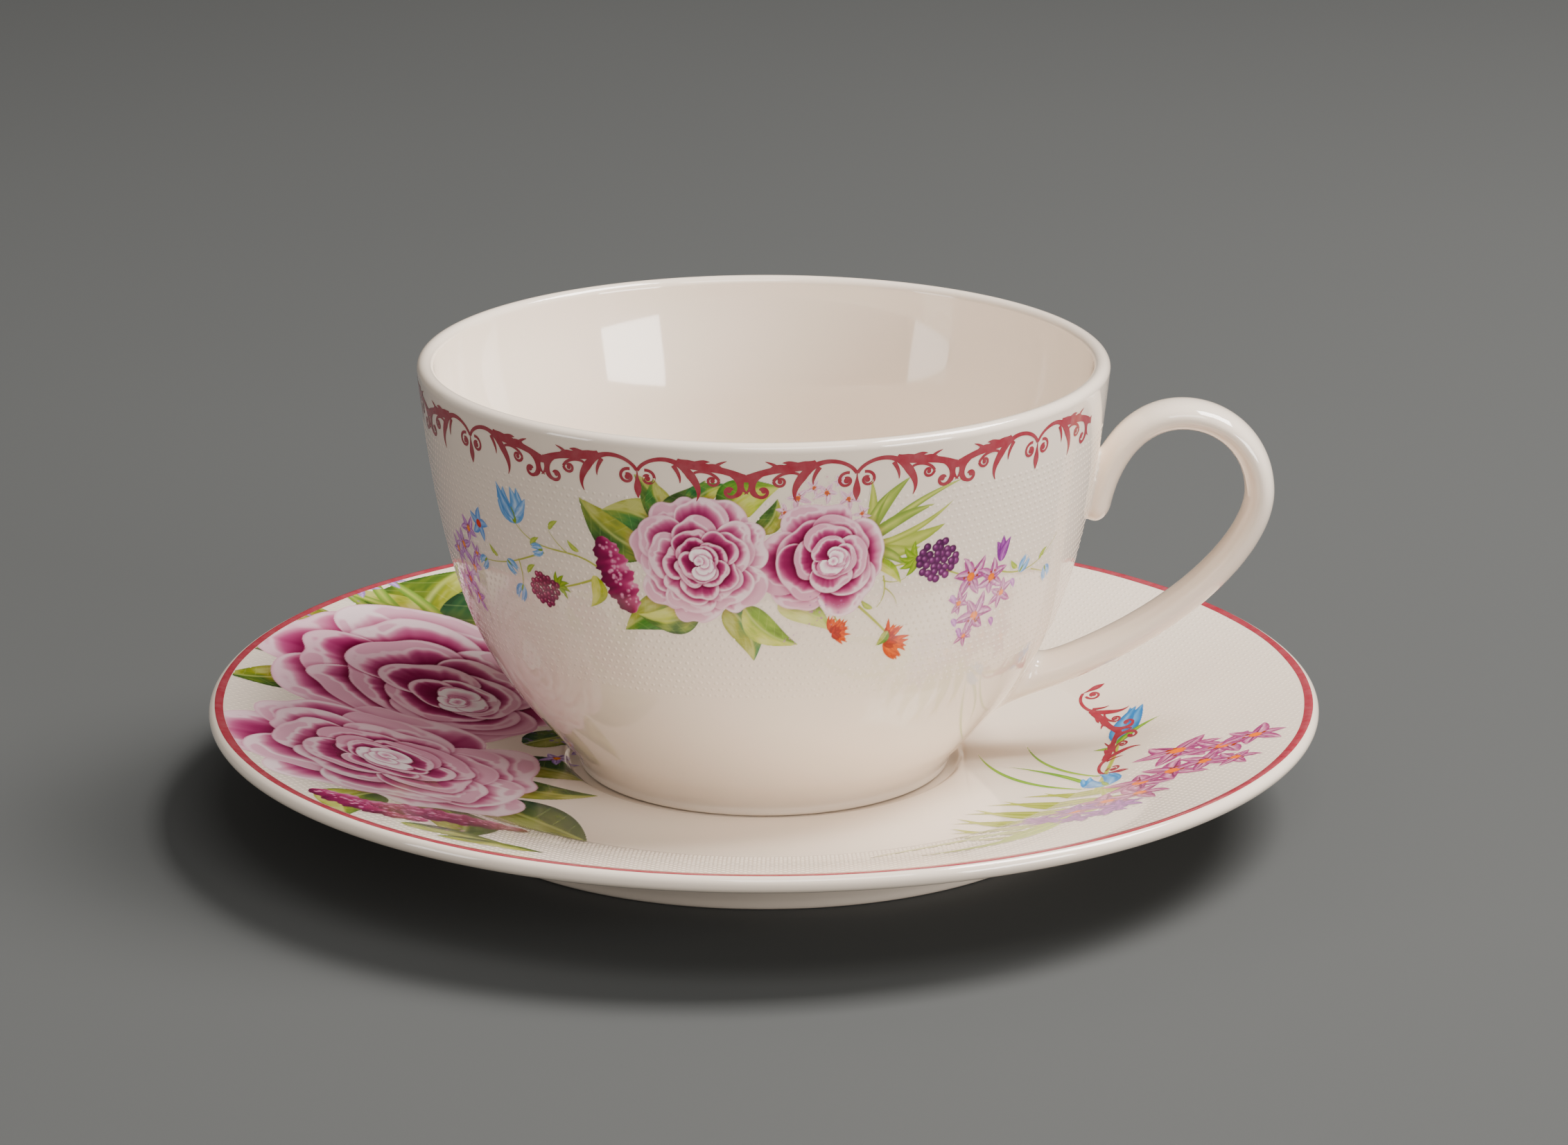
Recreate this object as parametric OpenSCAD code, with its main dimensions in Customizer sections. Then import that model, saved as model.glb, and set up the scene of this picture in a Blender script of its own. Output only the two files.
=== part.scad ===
// Teacup and saucer: a round bowl on a low foot, its strap handle, and the saucer it stands on.
// The saucer's axis is the Z axis, the table is z = 0, and the handle points along +X.

/* [Saucer] */
// Diameter over the lip
saucer_d = 155; // [150:0.5:165]
// Height of the lip's top above the table
saucer_h = 16.6; // [15.5:0.1:19]
// Outer radius of the ground face of the foot
saucer_foot_r = 44.4; // [42:0.1:45]
// Height of the well's floor, where the cup stands
well_h = 6.4; // [6:0.1:7]
// Radius of the shallow seat for the cup's foot
seat_r = 26.9; // [26.5:0.1:28]
// Depth of the seat below the well around it
seat_depth = 0.85; // [0.5:0.05:1.2]
// Radius of the crease between the well and the rim
crease_r = 48.5; // [47:0.1:52]
// Height of the crease
crease_h = 8.9; // [8.5:0.1:9.5]

/* [Cup] */
// Diameter over the lip
cup_d = 95.3; // [92:0.1:98]
// Height from the foot to the lip's top
cup_h = 58.3; // [56:0.1:62]
// Outer radius of the foot
cup_foot_r = 26.2; // [25:0.1:26.4]
// Height of the foot ring
cup_foot_h = 1.8; // [1.4:0.1:2]
// Thickness of the lip
lip_t = 2.3; // [2:0.1:2.6]
// Thickness of the wall, which thins to the lip over its top 20 mm
wall_t = 3.5; // [3:0.1:3.8]
// Thickness of the floor above the foot's recess
floor_t = 3; // [2.6:0.1:3.4]

/* [Handle] */
// Thickness of the strap, seen from the side
strap_t = 4.1; // [3.6:0.1:4.6]
// Width of the strap, seen from the end
strap_w = 8.3; // [7:0.1:9]

/* [Hidden] */
$fn = 96;

// Air between the cup's foot and the saucer, which only touch
stand_gap = 0.05;
cup_z = well_h + stand_gap;
porcelain = [0.94, 0.91, 0.87];

// Steps along one curve of a profile, and along the handle
curve_steps = 14;
wall_steps = 26;
ring_steps = 54;
ring_sides = 24;

// ---- curves ----

function lerp(a, b, t) = a + (b - a) * t;
function unit(v) = v / norm(v);
function smooth(t) = t <= 0 ? 0 : t >= 1 ? 1 : t * t * (3 - 2 * t);
function bez(p, t) = let(s = 1 - t)
    p[0] * s * s * s + p[1] * 3 * s * s * t + p[2] * 3 * s * t * t + p[3] * t * t * t;
function bez_dir(p, t) = let(s = 1 - t)
    unit((p[1] - p[0]) * s * s + (p[2] - p[1]) * 2 * s * t + (p[3] - p[2]) * t * t);
function curve(p, n) = [for (i = [0 : n]) bez(p, i / n)];
function arc(c, r, a0, a1, n) = [for (i = [0 : n]) c + r * [cos(lerp(a0, a1, i / n)), sin(lerp(a0, a1, i / n))]];

// ---- saucer ----

saucer_r = saucer_d / 2;
shelf = well_h + seat_depth;
lip_r = 1.15;
lip_c = [saucer_r - lip_r, saucer_h - lip_r];

// Upper side from the axis out to the lip
saucer_top = concat(
    [[0, well_h]],
    curve([[seat_r, well_h], [seat_r + 1, well_h], [seat_r + 0.8, shelf], [seat_r + 2, shelf]], 8),
    curve([[seat_r + 3, shelf + 0.01], [36, shelf], [43, shelf + 0.75], [crease_r - 0.6, crease_h - 0.1]],
        curve_steps),
    curve([[crease_r, crease_h], [57, crease_h + 2.9], [67, crease_h + 5.7], lip_c + lip_r * [-0.35, 0.94]],
        curve_steps));

// Lower side from the lip in to the axis, over the foot ring
foot_in = saucer_foot_r - 1.3;
under_h = well_h - 3;
saucer_under = concat(
    curve([lip_c + lip_r * [0.4, -0.92], [66.5, 11.5], [56.5, 8.2], [48.6, 4.9]], curve_steps),
    curve([[48.6, 4.9], [46.8, 4.3], [46.2, 3.2], [saucer_foot_r + 0.9, 1.4]], 8),
    curve([[saucer_foot_r + 0.9, 1.4], [saucer_foot_r + 0.6, 0.5], [saucer_foot_r + 0.5, 0.1],
        [saucer_foot_r, 0]], 5),
    curve([[foot_in, 0], [foot_in - 0.5, 0.1], [foot_in - 0.6, 0.5], [foot_in - 0.8, 1.2]], 5),
    curve([[foot_in - 0.8, 1.2], [foot_in - 1.2, 3], [foot_in - 2, under_h + 0.3], [foot_in - 4, under_h + 0.3]],
        8),
    [[26, under_h], [0, under_h]]);

module saucer() {
    color(porcelain)
    rotate_extrude()
        polygon(concat(saucer_top, arc(lip_c, lip_r, 95, -60, 14), saucer_under));
}

// ---- cup ----

cup_r = cup_d / 2;
cup_lip_c = [cup_r - lip_t / 2, cup_h - lip_t / 2];

// How far the wall leans outwards where it meets the lip, in degrees
lean = 5.4;
wall_end = cup_lip_c + lip_t / 2 * [cos(lean), -sin(lean)];
wall = [[cup_foot_r + 0.3, cup_foot_h], [35, 12.9], wall_end - 41.8 * [sin(lean), cos(lean)], wall_end];
function inward(t) = let(d = bez_dir(wall, t)) [-d[1], d[0]];

// The wall thins over this share of its curve, below the lip
taper = 0.16;
function thickness(t) = lerp(lip_t, wall_t, smooth((1 - t) / taper));
function inner_wall(t) = bez(wall, t) + inward(t) * thickness(t);

// Where the inner wall leaves the curve that rises from the floor
turn = 0.2;
floor_h = cup_foot_h + 0.6 + floor_t;
floor_r = 13;
rise = 6.2 * bez_dir(wall, turn);

// Outer side from the foot ring's inner edge up to the lip
cup_out = concat(
    curve([[24.4, 0.02], [24.9, -0.01], [25.3, -0.01], [25.7, 0.05]], 5),
    curve([[25.7, 0.05], [cup_foot_r - 0.1, 0.2], [cup_foot_r - 0.1, 0.6], [cup_foot_r, 1]], 6),
    curve([[cup_foot_r, 1], [cup_foot_r, 1.3], [cup_foot_r + 0.1, 1.5], bez(wall, 0.012)], 4),
    [for (i = [1 : wall_steps]) bez(wall, lerp(0.02, 1, i / wall_steps))]);

cup_in = concat(
    [for (i = [wall_steps : -1 : 0]) inner_wall(lerp(turn, 1, i / wall_steps))],
    curve([inner_wall(turn), inner_wall(turn) - rise, [floor_r + 8, floor_h], [floor_r, floor_h]], 10),
    [[0, floor_h]]);

// The recess under the floor, inside the foot ring
cup_recess = concat(
    [[0, cup_foot_h + 0.6]],
    curve([[21.5, cup_foot_h + 0.5], [23, cup_foot_h + 0.4], [23.4, 1.2], [24.4, 0.02]], 7));

module cup_body() {
    color(porcelain)
    translate([0, 0, cup_z])
        rotate_extrude()
            polygon(concat(cup_out, arc(cup_lip_c, lip_t / 2, 5 - lean, 175 - lean, 14), cup_in,
                cup_recess));
}

// ---- handle ----

// Middle line of the strap in the plane y = 0, from the cup's foot up: the tip of the lobe on the
// wall, the top of the loop, its outermost point, and the lower root inside the wall
handle_path = [
    [[45.7, 34.6], [46.8, 44], [51.5, 49.9], [58, 49.8]],
    [[58, 49.8], [63.5, 49.7], [68.3, 45.5], [68.7, 39.3]],
    [[68.7, 39.3], [69.4, 30.4], [54.6, 16.4], [32.9, 10.5]]];

// Each piece takes a share of the rings that suits its length
function path_piece(t) = t < 0.3 ? 0 : t < 0.52 ? 1 : 2;
function path_local(t) = t < 0.3 ? t / 0.3 : t < 0.52 ? (t - 0.3) / 0.22 : (t - 0.52) / 0.48;
function path_at(t) = bez(handle_path[path_piece(t)], path_local(t));
function path_dir(t) = bez_dir(handle_path[path_piece(t)], path_local(t));

// The ring across the strap turns to lie along the cup's wall at the lower root
wall_dir = unit([0.64, 0.77]);
function across(t) = let(d = path_dir(t), n = [-d[1], d[0]])
    unit(lerp(n, -wall_dir, smooth((t - 0.84) / 0.16)));
function sine(a, b) = abs(a[0] * b[1] - a[1] * b[0]);

// The lobe at the upper end is rounded off, and the lower root is a little stouter
function swell(t) = t < 0.07 ? sqrt(max(0.0, 1 - pow(1 - t / 0.07, 2))) * 0.94 + 0.06
    : 1 + 0.08 * smooth((t - 0.6) / 0.4);
function ring(t) = let(c = path_at(t), n = across(t), k = swell(t),
        a = k * strap_t / 2 / max(0.45, sine(n, path_dir(t))), b = k * strap_w / 2)
    [for (j = [0 : ring_sides - 1]) let(u = 360 * j / ring_sides)
        [c[0] + n[0] * a * cos(u), b * sin(u), c[1] + n[1] * a * cos(u)]];

handle_points = [for (i = [0 : ring_steps]) each ring(i / ring_steps)];
handle_sides = [for (i = [0 : ring_steps - 1], j = [0 : ring_sides - 1])
    let(a = i * ring_sides + j, b = i * ring_sides + (j + 1) % ring_sides)
    each [[a, b, b + ring_sides], [a, b + ring_sides, a + ring_sides]]];
handle_start = [for (j = [1 : ring_sides - 2]) [0, j + 1, j]];
handle_last = ring_steps * ring_sides;
handle_end = [for (j = [1 : ring_sides - 2]) [handle_last, handle_last + j, handle_last + j + 1]];

module cup_handle() {
    color(porcelain)
    translate([0, 0, cup_z])
        polyhedron(handle_points, concat(handle_start, handle_sides, handle_end), convexity = 6);
}

saucer();
cup_body();
cup_handle();
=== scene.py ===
"""Teacup and saucer: smooth glazed bodies, embossed dots and fired-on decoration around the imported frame."""

import math

import bpy
import numpy as np
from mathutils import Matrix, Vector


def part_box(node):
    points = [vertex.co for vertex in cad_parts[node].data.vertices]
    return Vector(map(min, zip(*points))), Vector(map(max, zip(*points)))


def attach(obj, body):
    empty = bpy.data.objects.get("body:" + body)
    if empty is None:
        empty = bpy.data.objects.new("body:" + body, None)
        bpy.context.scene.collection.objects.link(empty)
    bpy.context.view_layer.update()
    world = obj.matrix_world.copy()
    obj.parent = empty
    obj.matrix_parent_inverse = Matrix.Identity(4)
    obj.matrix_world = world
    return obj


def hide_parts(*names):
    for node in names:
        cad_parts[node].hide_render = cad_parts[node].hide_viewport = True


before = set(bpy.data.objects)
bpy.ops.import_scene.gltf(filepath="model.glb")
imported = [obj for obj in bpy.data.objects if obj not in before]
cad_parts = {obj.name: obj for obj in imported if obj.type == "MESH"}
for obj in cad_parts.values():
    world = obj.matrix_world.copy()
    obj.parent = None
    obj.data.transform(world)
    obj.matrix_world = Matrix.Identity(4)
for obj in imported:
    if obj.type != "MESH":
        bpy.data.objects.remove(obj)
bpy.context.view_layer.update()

MM = 0.001


# ---- frame sizes, in millimetres ----


def box_mm(node):
    low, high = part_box(node)
    return np.array(low) / MM, np.array(high) / MM


saucer_low, saucer_high = box_mm("saucer")
cup_low, cup_high = box_mm("cup_body")
handle_low, handle_high = box_mm("cup_handle")

SAUCER_R = (saucer_high[0] - saucer_low[0]) / 2
SAUCER_H = saucer_high[2]
SAUCER_FOOT_R = 44.4
WELL_H = 6.4
SEAT_R = 26.9
SHELF_H = WELL_H + 0.85
CREASE_R, CREASE_H = 48.5, 8.9
SAUCER_LIP = 1.15

CUP_Z = cup_low[2]
CUP_H = cup_high[2] - cup_low[2]
CUP_R = 47.65
CUP_FOOT_R = 26.2
CUP_FOOT_H = 1.8
LIP_T = 2.3
WALL_T = 3.5
FLOOR_H = CUP_FOOT_H + 3.6

STRAP_T = 4.1
STRAP_W = handle_high[1] - handle_low[1] - 0.7

FILM = 0.03

IVORY = (0.88, 0.765, 0.65)
RIM_RED = (0.30, 0.0, 0.018)


# ---- curves ----


def mix(a, b, t):
    return a + (b - a) * t


def smooth(t):
    t = np.clip(t, 0.0, 1.0)
    return t * t * (3 - 2 * t)


def unit(v):
    return v / np.linalg.norm(v, axis=-1, keepdims=True)


def bezier(p, t):
    """Points of one cubic curve, or of a quadratic one, at the parameters t."""
    p = np.asarray(p, float)
    t = np.asarray(t, float)[..., None]
    while len(p) > 1:
        p = [a + (b - a) * t for a, b in zip(p[:-1], p[1:])]
    return p[0]


def bezier_way(p, t):
    p = np.asarray(p, float)
    return unit(bezier((p[1:] - p[:-1]), t))


def curve(p, n):
    return bezier(p, np.linspace(0, 1, n + 1))


def arc(centre, r, a0, a1, n):
    a = np.radians(np.linspace(a0, a1, n + 1))
    return np.asarray(centre) + r * np.stack([np.cos(a), np.sin(a)], -1)


# ---- profiles: (radius, height) in millimetres ----

SAUCER_LIP_C = np.array([SAUCER_R - SAUCER_LIP, SAUCER_H - SAUCER_LIP])
SAUCER_WELL = [[SEAT_R + 3, SHELF_H + 0.01], [36, SHELF_H], [43, SHELF_H + 0.75],
               [CREASE_R - 0.6, CREASE_H - 0.1]]
SAUCER_RIM = [[CREASE_R, CREASE_H], [57, CREASE_H + 2.9], [67, CREASE_H + 5.7],
              SAUCER_LIP_C + SAUCER_LIP * np.array([-0.35, 0.94])]


def saucer_profile():
    foot, foot_in = SAUCER_FOOT_R, SAUCER_FOOT_R - 1.3
    under = WELL_H - 3
    crease = [bezier(SAUCER_WELL, 1.0), [CREASE_R - 0.3, CREASE_H - 0.06], bezier(SAUCER_RIM, 0.0)]
    parts = [
        [[0, WELL_H], [9, WELL_H], [18, WELL_H], [24, WELL_H]],
        curve([[SEAT_R, WELL_H], [SEAT_R + 1, WELL_H], [SEAT_R + 0.8, SHELF_H], [SEAT_R + 2, SHELF_H]], 16),
        curve(SAUCER_WELL, 24)[:-1],
        curve(crease, 6)[:-1],
        curve(SAUCER_RIM, 36),
        arc(SAUCER_LIP_C, SAUCER_LIP, 95, -60, 22),
        curve([SAUCER_LIP_C + SAUCER_LIP * np.array([0.4, -0.92]), [66.5, 11.5], [56.5, 8.2],
               [48.6, 4.9]], 30),
        curve([[48.6, 4.9], [46.8, 4.3], [46.2, 3.2], [foot + 0.9, 1.4]], 14)[1:],
        curve([[foot + 0.9, 1.4], [foot + 0.6, 0.5], [foot + 0.5, 0.1], [foot, 0]], 8)[1:],
        curve([[foot_in, 0], [foot_in - 0.5, 0.1], [foot_in - 0.6, 0.5], [foot_in - 0.8, 1.2]], 8),
        curve([[foot_in - 0.8, 1.2], [foot_in - 1.2, 3], [foot_in - 2, under + 0.3],
               [foot_in - 4, under + 0.3]], 14)[1:],
        [[32, under + 0.15], [26, under], [13, under], [0, under]],
    ]
    return np.vstack(parts)


CUP_LIP_C = np.array([CUP_R - LIP_T / 2, CUP_H - LIP_T / 2])
LEAN = 5.4
OUTWARD = np.array([math.cos(math.radians(LEAN)), -math.sin(math.radians(LEAN))])
WALL_END = CUP_LIP_C + LIP_T / 2 * OUTWARD
WALL = np.array([[CUP_FOOT_R + 0.3, CUP_FOOT_H], [35, 12.9],
                 WALL_END + 41.8 * OUTWARD[::-1] * [1, -1], WALL_END])
WALL_TURN = 0.2
TAPER = 0.16


def inner_wall(t):
    way = bezier_way(WALL, t)
    inward = np.stack([-way[..., 1], way[..., 0]], -1)
    return bezier(WALL, t) + inward * mix(LIP_T, WALL_T, smooth((1 - np.asarray(t)) / TAPER))[..., None]


def cup_profile():
    turn = inner_wall(WALL_TURN)
    rise = 6.2 * bezier_way(WALL, WALL_TURN)
    foot = CUP_FOOT_R
    parts = [
        [[0, CUP_FOOT_H + 0.6], [11, CUP_FOOT_H + 0.6]],
        curve([[21.5, CUP_FOOT_H + 0.5], [23, CUP_FOOT_H + 0.4], [23.4, 1.2], [24.4, 0.02]], 14)[:-1],
        curve([[24.4, 0.02], [24.9, -0.01], [25.3, -0.01], [25.7, 0.05]], 8)[:-1],
        curve([[25.7, 0.05], [foot - 0.1, 0.2], [foot - 0.1, 0.6], [foot, 1]], 10)[:-1],
        curve([[foot, 1], [foot, 1.3], [foot + 0.1, 1.5], bezier(WALL, 0.012)], 8),
        bezier(WALL, np.linspace(0.02, 1, 100)),
        arc(CUP_LIP_C, LIP_T / 2, 3 - LEAN, 177 - LEAN, 30),
        inner_wall(np.linspace(1, WALL_TURN, 80)),
        curve([turn, turn - rise, [21, FLOOR_H], [13, FLOOR_H]], 24)[1:],
        [[6, FLOOR_H], [0, FLOOR_H]],
    ]
    return np.vstack(parts)


# ---- meshes ----


def add_piece(name, points_mm, faces, materials, body):
    """A finished piece of the object, given in millimetres and stored in metres."""
    mesh = bpy.data.meshes.new(name)
    mesh.from_pydata((np.asarray(points_mm, float) * MM).tolist(), [], [list(map(int, f)) for f in faces])
    return add_object(name, mesh, materials, body)


def add_object(name, mesh, materials, body):
    mesh.validate()
    mesh.shade_smooth()
    mesh.materials.clear()
    for material in materials:
        mesh.materials.append(material)
    piece = bpy.data.objects.new(name, mesh)
    bpy.context.collection.objects.link(piece)
    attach(piece, body)
    return piece


def lathe(profile, sides, lift=0.0):
    """Turns a profile that starts and ends on the axis into a closed solid."""
    a = np.arange(sides) * 2 * np.pi / sides
    inner = profile[1:-1]
    ring = np.stack([inner[:, None, 0] * np.cos(a), inner[:, None, 0] * np.sin(a),
                     np.broadcast_to(inner[:, None, 1], (len(inner), sides))], -1).reshape(-1, 3)
    points = np.vstack([ring, [[0, 0, profile[0, 1]], [0, 0, profile[-1, 1]]]]) + [0, 0, lift]
    j = np.arange(sides)
    k = (j + 1) % sides
    faces = []
    for i in range(len(inner) - 1):
        row, above = i * sides, (i + 1) * sides
        faces += np.stack([row + j, above + j, above + k, row + k], -1).tolist()
    first, last = len(ring), len(ring) + 1
    top = (len(inner) - 1) * sides
    faces += np.stack([np.full(sides, first), j, k], -1).tolist()
    faces += np.stack([np.full(sides, last), top + k, top + j], -1).tolist()
    return points, faces


# ---- node trees ----


class Value:
    """A socket in a node tree, on which arithmetic adds Math nodes."""

    def __init__(self, tree, socket):
        self.tree, self.socket = tree, socket

    def _math(self, operation, a, b=0.0):
        return self.tree.node("ShaderNodeMath", {"operation": operation}, {0: a, 1: b})["Value"]

    def sine(self):
        return self._math("SINE", self)

    def cosine(self):
        return self._math("COSINE", self)

    def __add__(self, other):
        return self._math("ADD", self, other)

    __radd__ = __add__

    def __sub__(self, other):
        return self._math("SUBTRACT", self, other)

    def __rsub__(self, other):
        return self._math("SUBTRACT", other, self)

    def __mul__(self, other):
        return self._math("MULTIPLY", self, other)

    __rmul__ = __mul__

    def __truediv__(self, other):
        return self._math("DIVIDE", self, other)


class Tree:
    """A node tree. Its node method makes every node and returns the outputs in use, by name."""

    def __init__(self, tree):
        self.tree = tree

    def node(self, kind, settings=None, sockets=None):
        made = self.tree.nodes.new(kind)
        for key, value in (settings or {}).items():
            setattr(made, key, value)
        for key, value in (sockets or {}).items():
            if isinstance(value, Value):
                self.tree.links.new(value.socket, made.inputs[key])
            else:
                made.inputs[key].default_value = value
        return {out.name: Value(self, out) for out in made.outputs if out.enabled}


class Shader(Tree):
    """One material."""

    def __init__(self, name):
        self.material = bpy.data.materials.new(name)
        self.material.use_nodes = True
        super().__init__(self.material.node_tree)
        self.tree.nodes.clear()

    def finish(self, surface):
        self.node("ShaderNodeOutputMaterial", None, {"Surface": surface})
        return self.material


def rgba(colour):
    return (*colour, 1.0)


def place_noise(s, scale, detail=2.0):
    where = s.node("ShaderNodeTexCoord")["Object"]
    return s.node("ShaderNodeTexNoise", None, {"Vector": where, "Scale": scale, "Detail": detail})["Fac"]


def glaze_surface(s, colour, roughness=0.07, coat=0.5, ior=1.52):
    """Clear glossy glaze: nearly mirror smooth, with a faint slow ripple left by the firing."""
    uneven = place_noise(s, 55.0)
    fine = place_noise(s, 900.0, 3.0)
    height = uneven + fine * 0.02
    bump = s.node("ShaderNodeBump", None, {"Strength": 0.25, "Distance": 0.012 * MM, "Height": height})
    gloss = (fine - 0.5) * 0.05 + roughness
    return s.node("ShaderNodeBsdfPrincipled", None, {
        "Base Color": colour, "Roughness": gloss, "Normal": bump["Normal"], "Coat Weight": coat,
        "Coat Roughness": 0.03, "IOR": ior})["BSDF"]


def porcelain():
    """Warm white clay under clear glaze, very slightly cloudy in tone."""
    s = Shader("ivory_porcelain")
    cloud = place_noise(s, 22.0, 3.0)
    warm = tuple(c * w for c, w in zip(IVORY, (1.0, 0.985, 0.955)))
    tone = s.node("ShaderNodeMix", {"data_type": "RGBA"}, {0: cloud, 6: rgba(IVORY), 7: rgba(warm)})
    return s.finish(glaze_surface(s, tone["Result"]))


def red_enamel():
    """The red line and scrolls: flat printed red, a little denser in places, under the gloss."""
    s = Shader("red_transfer")
    dense = place_noise(s, 700.0, 3.0)
    thin = tuple(mix(c, 1.0, 0.09) for c in RIM_RED)
    tone = s.node("ShaderNodeMix", {"data_type": "RGBA"}, {0: dense, 6: rgba(RIM_RED), 7: rgba(thin)})
    return s.finish(glaze_surface(s, tone["Result"], roughness=0.12, coat=0.2, ior=1.45))


def painted_transfer():
    """A printed flower sheet: its colour and cover come from the paint laid down on the piece."""
    s = Shader("flower_transfer")
    paint = s.node("ShaderNodeAttribute", {"attribute_name": "paint"})
    return s.finish(glaze_surface(s, paint["Color"], roughness=0.1, coat=0.1, ior=1.4))


def bare_clay():
    """The ground foot, where the glaze is wiped off: dry, slightly darker and finely pitted."""
    s = Shader("bare_clay")
    grain = place_noise(s, 2600.0, 3.0)
    stain = place_noise(s, 160.0, 2.0)
    tone = s.node("ShaderNodeMix", {"data_type": "RGBA"},
                  {0: stain, 6: (0.60, 0.53, 0.45, 1), 7: (0.50, 0.43, 0.36, 1)})
    bump = s.node("ShaderNodeBump", None, {"Strength": 0.6, "Distance": 0.03 * MM, "Height": grain})
    return s.finish(s.node("ShaderNodeBsdfPrincipled", None, {
        "Base Color": tone["Result"], "Roughness": grain * 0.15 + 0.65, "Normal": bump["Normal"]})["BSDF"])


class Geometry(Tree):
    """A Geometry Nodes tree with named inputs, which ends in Realize Instances and Set Material."""

    def __init__(self, name, inputs):
        group = bpy.data.node_groups.new(name, "GeometryNodeTree")
        group.interface.new_socket("Geometry", in_out="INPUT", socket_type="NodeSocketGeometry")
        for label, (kind, value) in inputs.items():
            socket = group.interface.new_socket(label, in_out="INPUT", socket_type="NodeSocket" + kind)
            if value is not None:
                socket.default_value = value
        group.interface.new_socket("Geometry", in_out="OUTPUT", socket_type="NodeSocketGeometry")
        super().__init__(group)
        self.group = group
        self.inputs = self.node("NodeGroupInput")

    def finish(self, geometry, place=None):
        real = self.node("GeometryNodeRealizeInstances", None, {"Geometry": geometry})["Geometry"]
        if place is not None:
            real = self.node("GeometryNodeSetPosition", None,
                             {"Geometry": real, "Position": place(self)})["Geometry"]
        real = self.node("GeometryNodeSetShadeSmooth", None, {"Geometry": real})["Geometry"]
        made = self.node("GeometryNodeSetMaterial", None,
                         {"Geometry": real, "Material": self.inputs["Material"]})
        self.node("NodeGroupOutput", None, {"Geometry": made["Geometry"]})
        return self.group


def grown(name, source, group, values, material, body):
    """Runs a Geometry Nodes tree on a source mesh and keeps the result as a plain piece."""
    carrier = bpy.data.objects.new(name + "_source", source)
    bpy.context.collection.objects.link(carrier)
    modifier = carrier.modifiers.new("nodes", "NODES")
    modifier.node_group = group
    for item in group.interface.items_tree:
        if item.in_out == "INPUT" and item.name in values:
            modifier[item.identifier] = values[item.name]
    modifier[next(i.identifier for i in group.interface.items_tree if i.name == "Material")] = material
    evaluated = carrier.evaluated_get(bpy.context.evaluated_depsgraph_get())
    mesh = bpy.data.meshes.new_from_object(evaluated)
    mesh.name = name
    bpy.data.objects.remove(carrier)
    return add_object(name, mesh, [material], body)


def loose_mesh(name, points_mm, faces=()):
    mesh = bpy.data.meshes.new(name)
    mesh.from_pydata((np.asarray(points_mm, float) * MM).tolist(), [], [list(map(int, f)) for f in faces])
    return mesh


# ---- saucer and cup body ----


def wipe_foot(piece, low, clay_index=1):
    """Gives the faces that stand on the ground or the saucer the bare clay."""
    for face in piece.data.polygons:
        heights = [piece.data.vertices[i].co.z / MM - low for i in face.vertices]
        if max(heights) < 0.16:
            face.material_index = clay_index


def make_saucer(glaze, clay):
    points, faces = lathe(saucer_profile()[::-1], 320)
    piece = add_piece("saucer_glazed", points, faces, [glaze, clay], "saucer")
    wipe_foot(piece, 0.0)
    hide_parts("saucer")


def make_cup(glaze, clay):
    points, faces = lathe(cup_profile(), 288, CUP_Z)
    piece = add_piece("cup_body_glazed", points, faces, [glaze, clay], "cup")
    wipe_foot(piece, CUP_Z)
    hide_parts("cup_body")


# ---- handle ----

# Middle line of the strap in the plane y = 0, from the cup's foot up
HANDLE_PATH = [
    [[45.7, 34.6], [46.8, 44], [51.5, 49.9], [58, 49.8]],
    [[58, 49.8], [63.5, 49.7], [68.3, 45.5], [68.7, 39.3]],
    [[68.7, 39.3], [69.4, 30.4], [54.6, 16.4], [32.9, 10.5]],
]
LOBE_ROUND = 2.9
ROOT_BLEND = 5.0
TIP_BLEND = 1.4


def wall_radius(z):
    """Outer radius of the cup's wall at heights above its foot."""
    way = bezier(WALL, np.linspace(0, 1, 600))
    return np.interp(z, way[:, 1], way[:, 0])


def wall_slope(z):
    return (wall_radius(z + 0.05) - wall_radius(z - 0.05)) / 0.1


class Strap:
    """Distance to the handle's strap: an oval carried along the middle line, rounded off at the lobe."""

    def __init__(self):
        t = np.linspace(0, 1, 160)
        self.line = np.vstack([bezier(p, t[:-1]) for p in HANDLE_PATH] + [bezier(HANDLE_PATH[-1], 1.0)])
        self.way = unit(np.gradient(self.line, axis=0))
        steps = np.linalg.norm(np.diff(self.line, axis=0), axis=1)
        self.length = np.concatenate([[0], np.cumsum(steps)])
        self.total = self.length[-1]

    def distance(self, p):
        gap2 = ((p[:, None, [0, 2]] - self.line[None, ::3]) ** 2).sum(-1)
        near = gap2.argmin(1) * 3
        for _ in range(2):
            off = p[:, [0, 2]] - self.line[near]
            along = (off * self.way[near]).sum(1)
            step = self.total / (len(self.line) - 1)
            near = np.clip(near + np.round(along / step).astype(int), 0, len(self.line) - 1)
        off = p[:, [0, 2]] - self.line[near]
        way = self.way[near]
        along = (off * way).sum(1)
        side = off[:, 1] * way[:, 0] - off[:, 0] * way[:, 1]
        here = np.clip(self.length[near] + along, 0, self.total)
        stout = 1 + 0.10 * smooth((here - 0.62 * self.total) / (0.38 * self.total))
        thick = STRAP_T / 2 * stout
        wide = STRAP_W / 2 * stout * (1 - 0.06 * smooth((8 - here) / 8))
        start = np.maximum(LOBE_ROUND - (self.length[near] + along), 0)
        a, b, c = side / thick, p[:, 1] / wide, start / LOBE_ROUND
        f = np.sqrt(a * a + b * b + c * c) + 1e-9
        slope = np.sqrt((a / thick) ** 2 + (b / wide) ** 2 + (c / LOBE_ROUND) ** 2) / f + 1e-9
        return (f - 1) / np.maximum(slope, 0.15)


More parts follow.
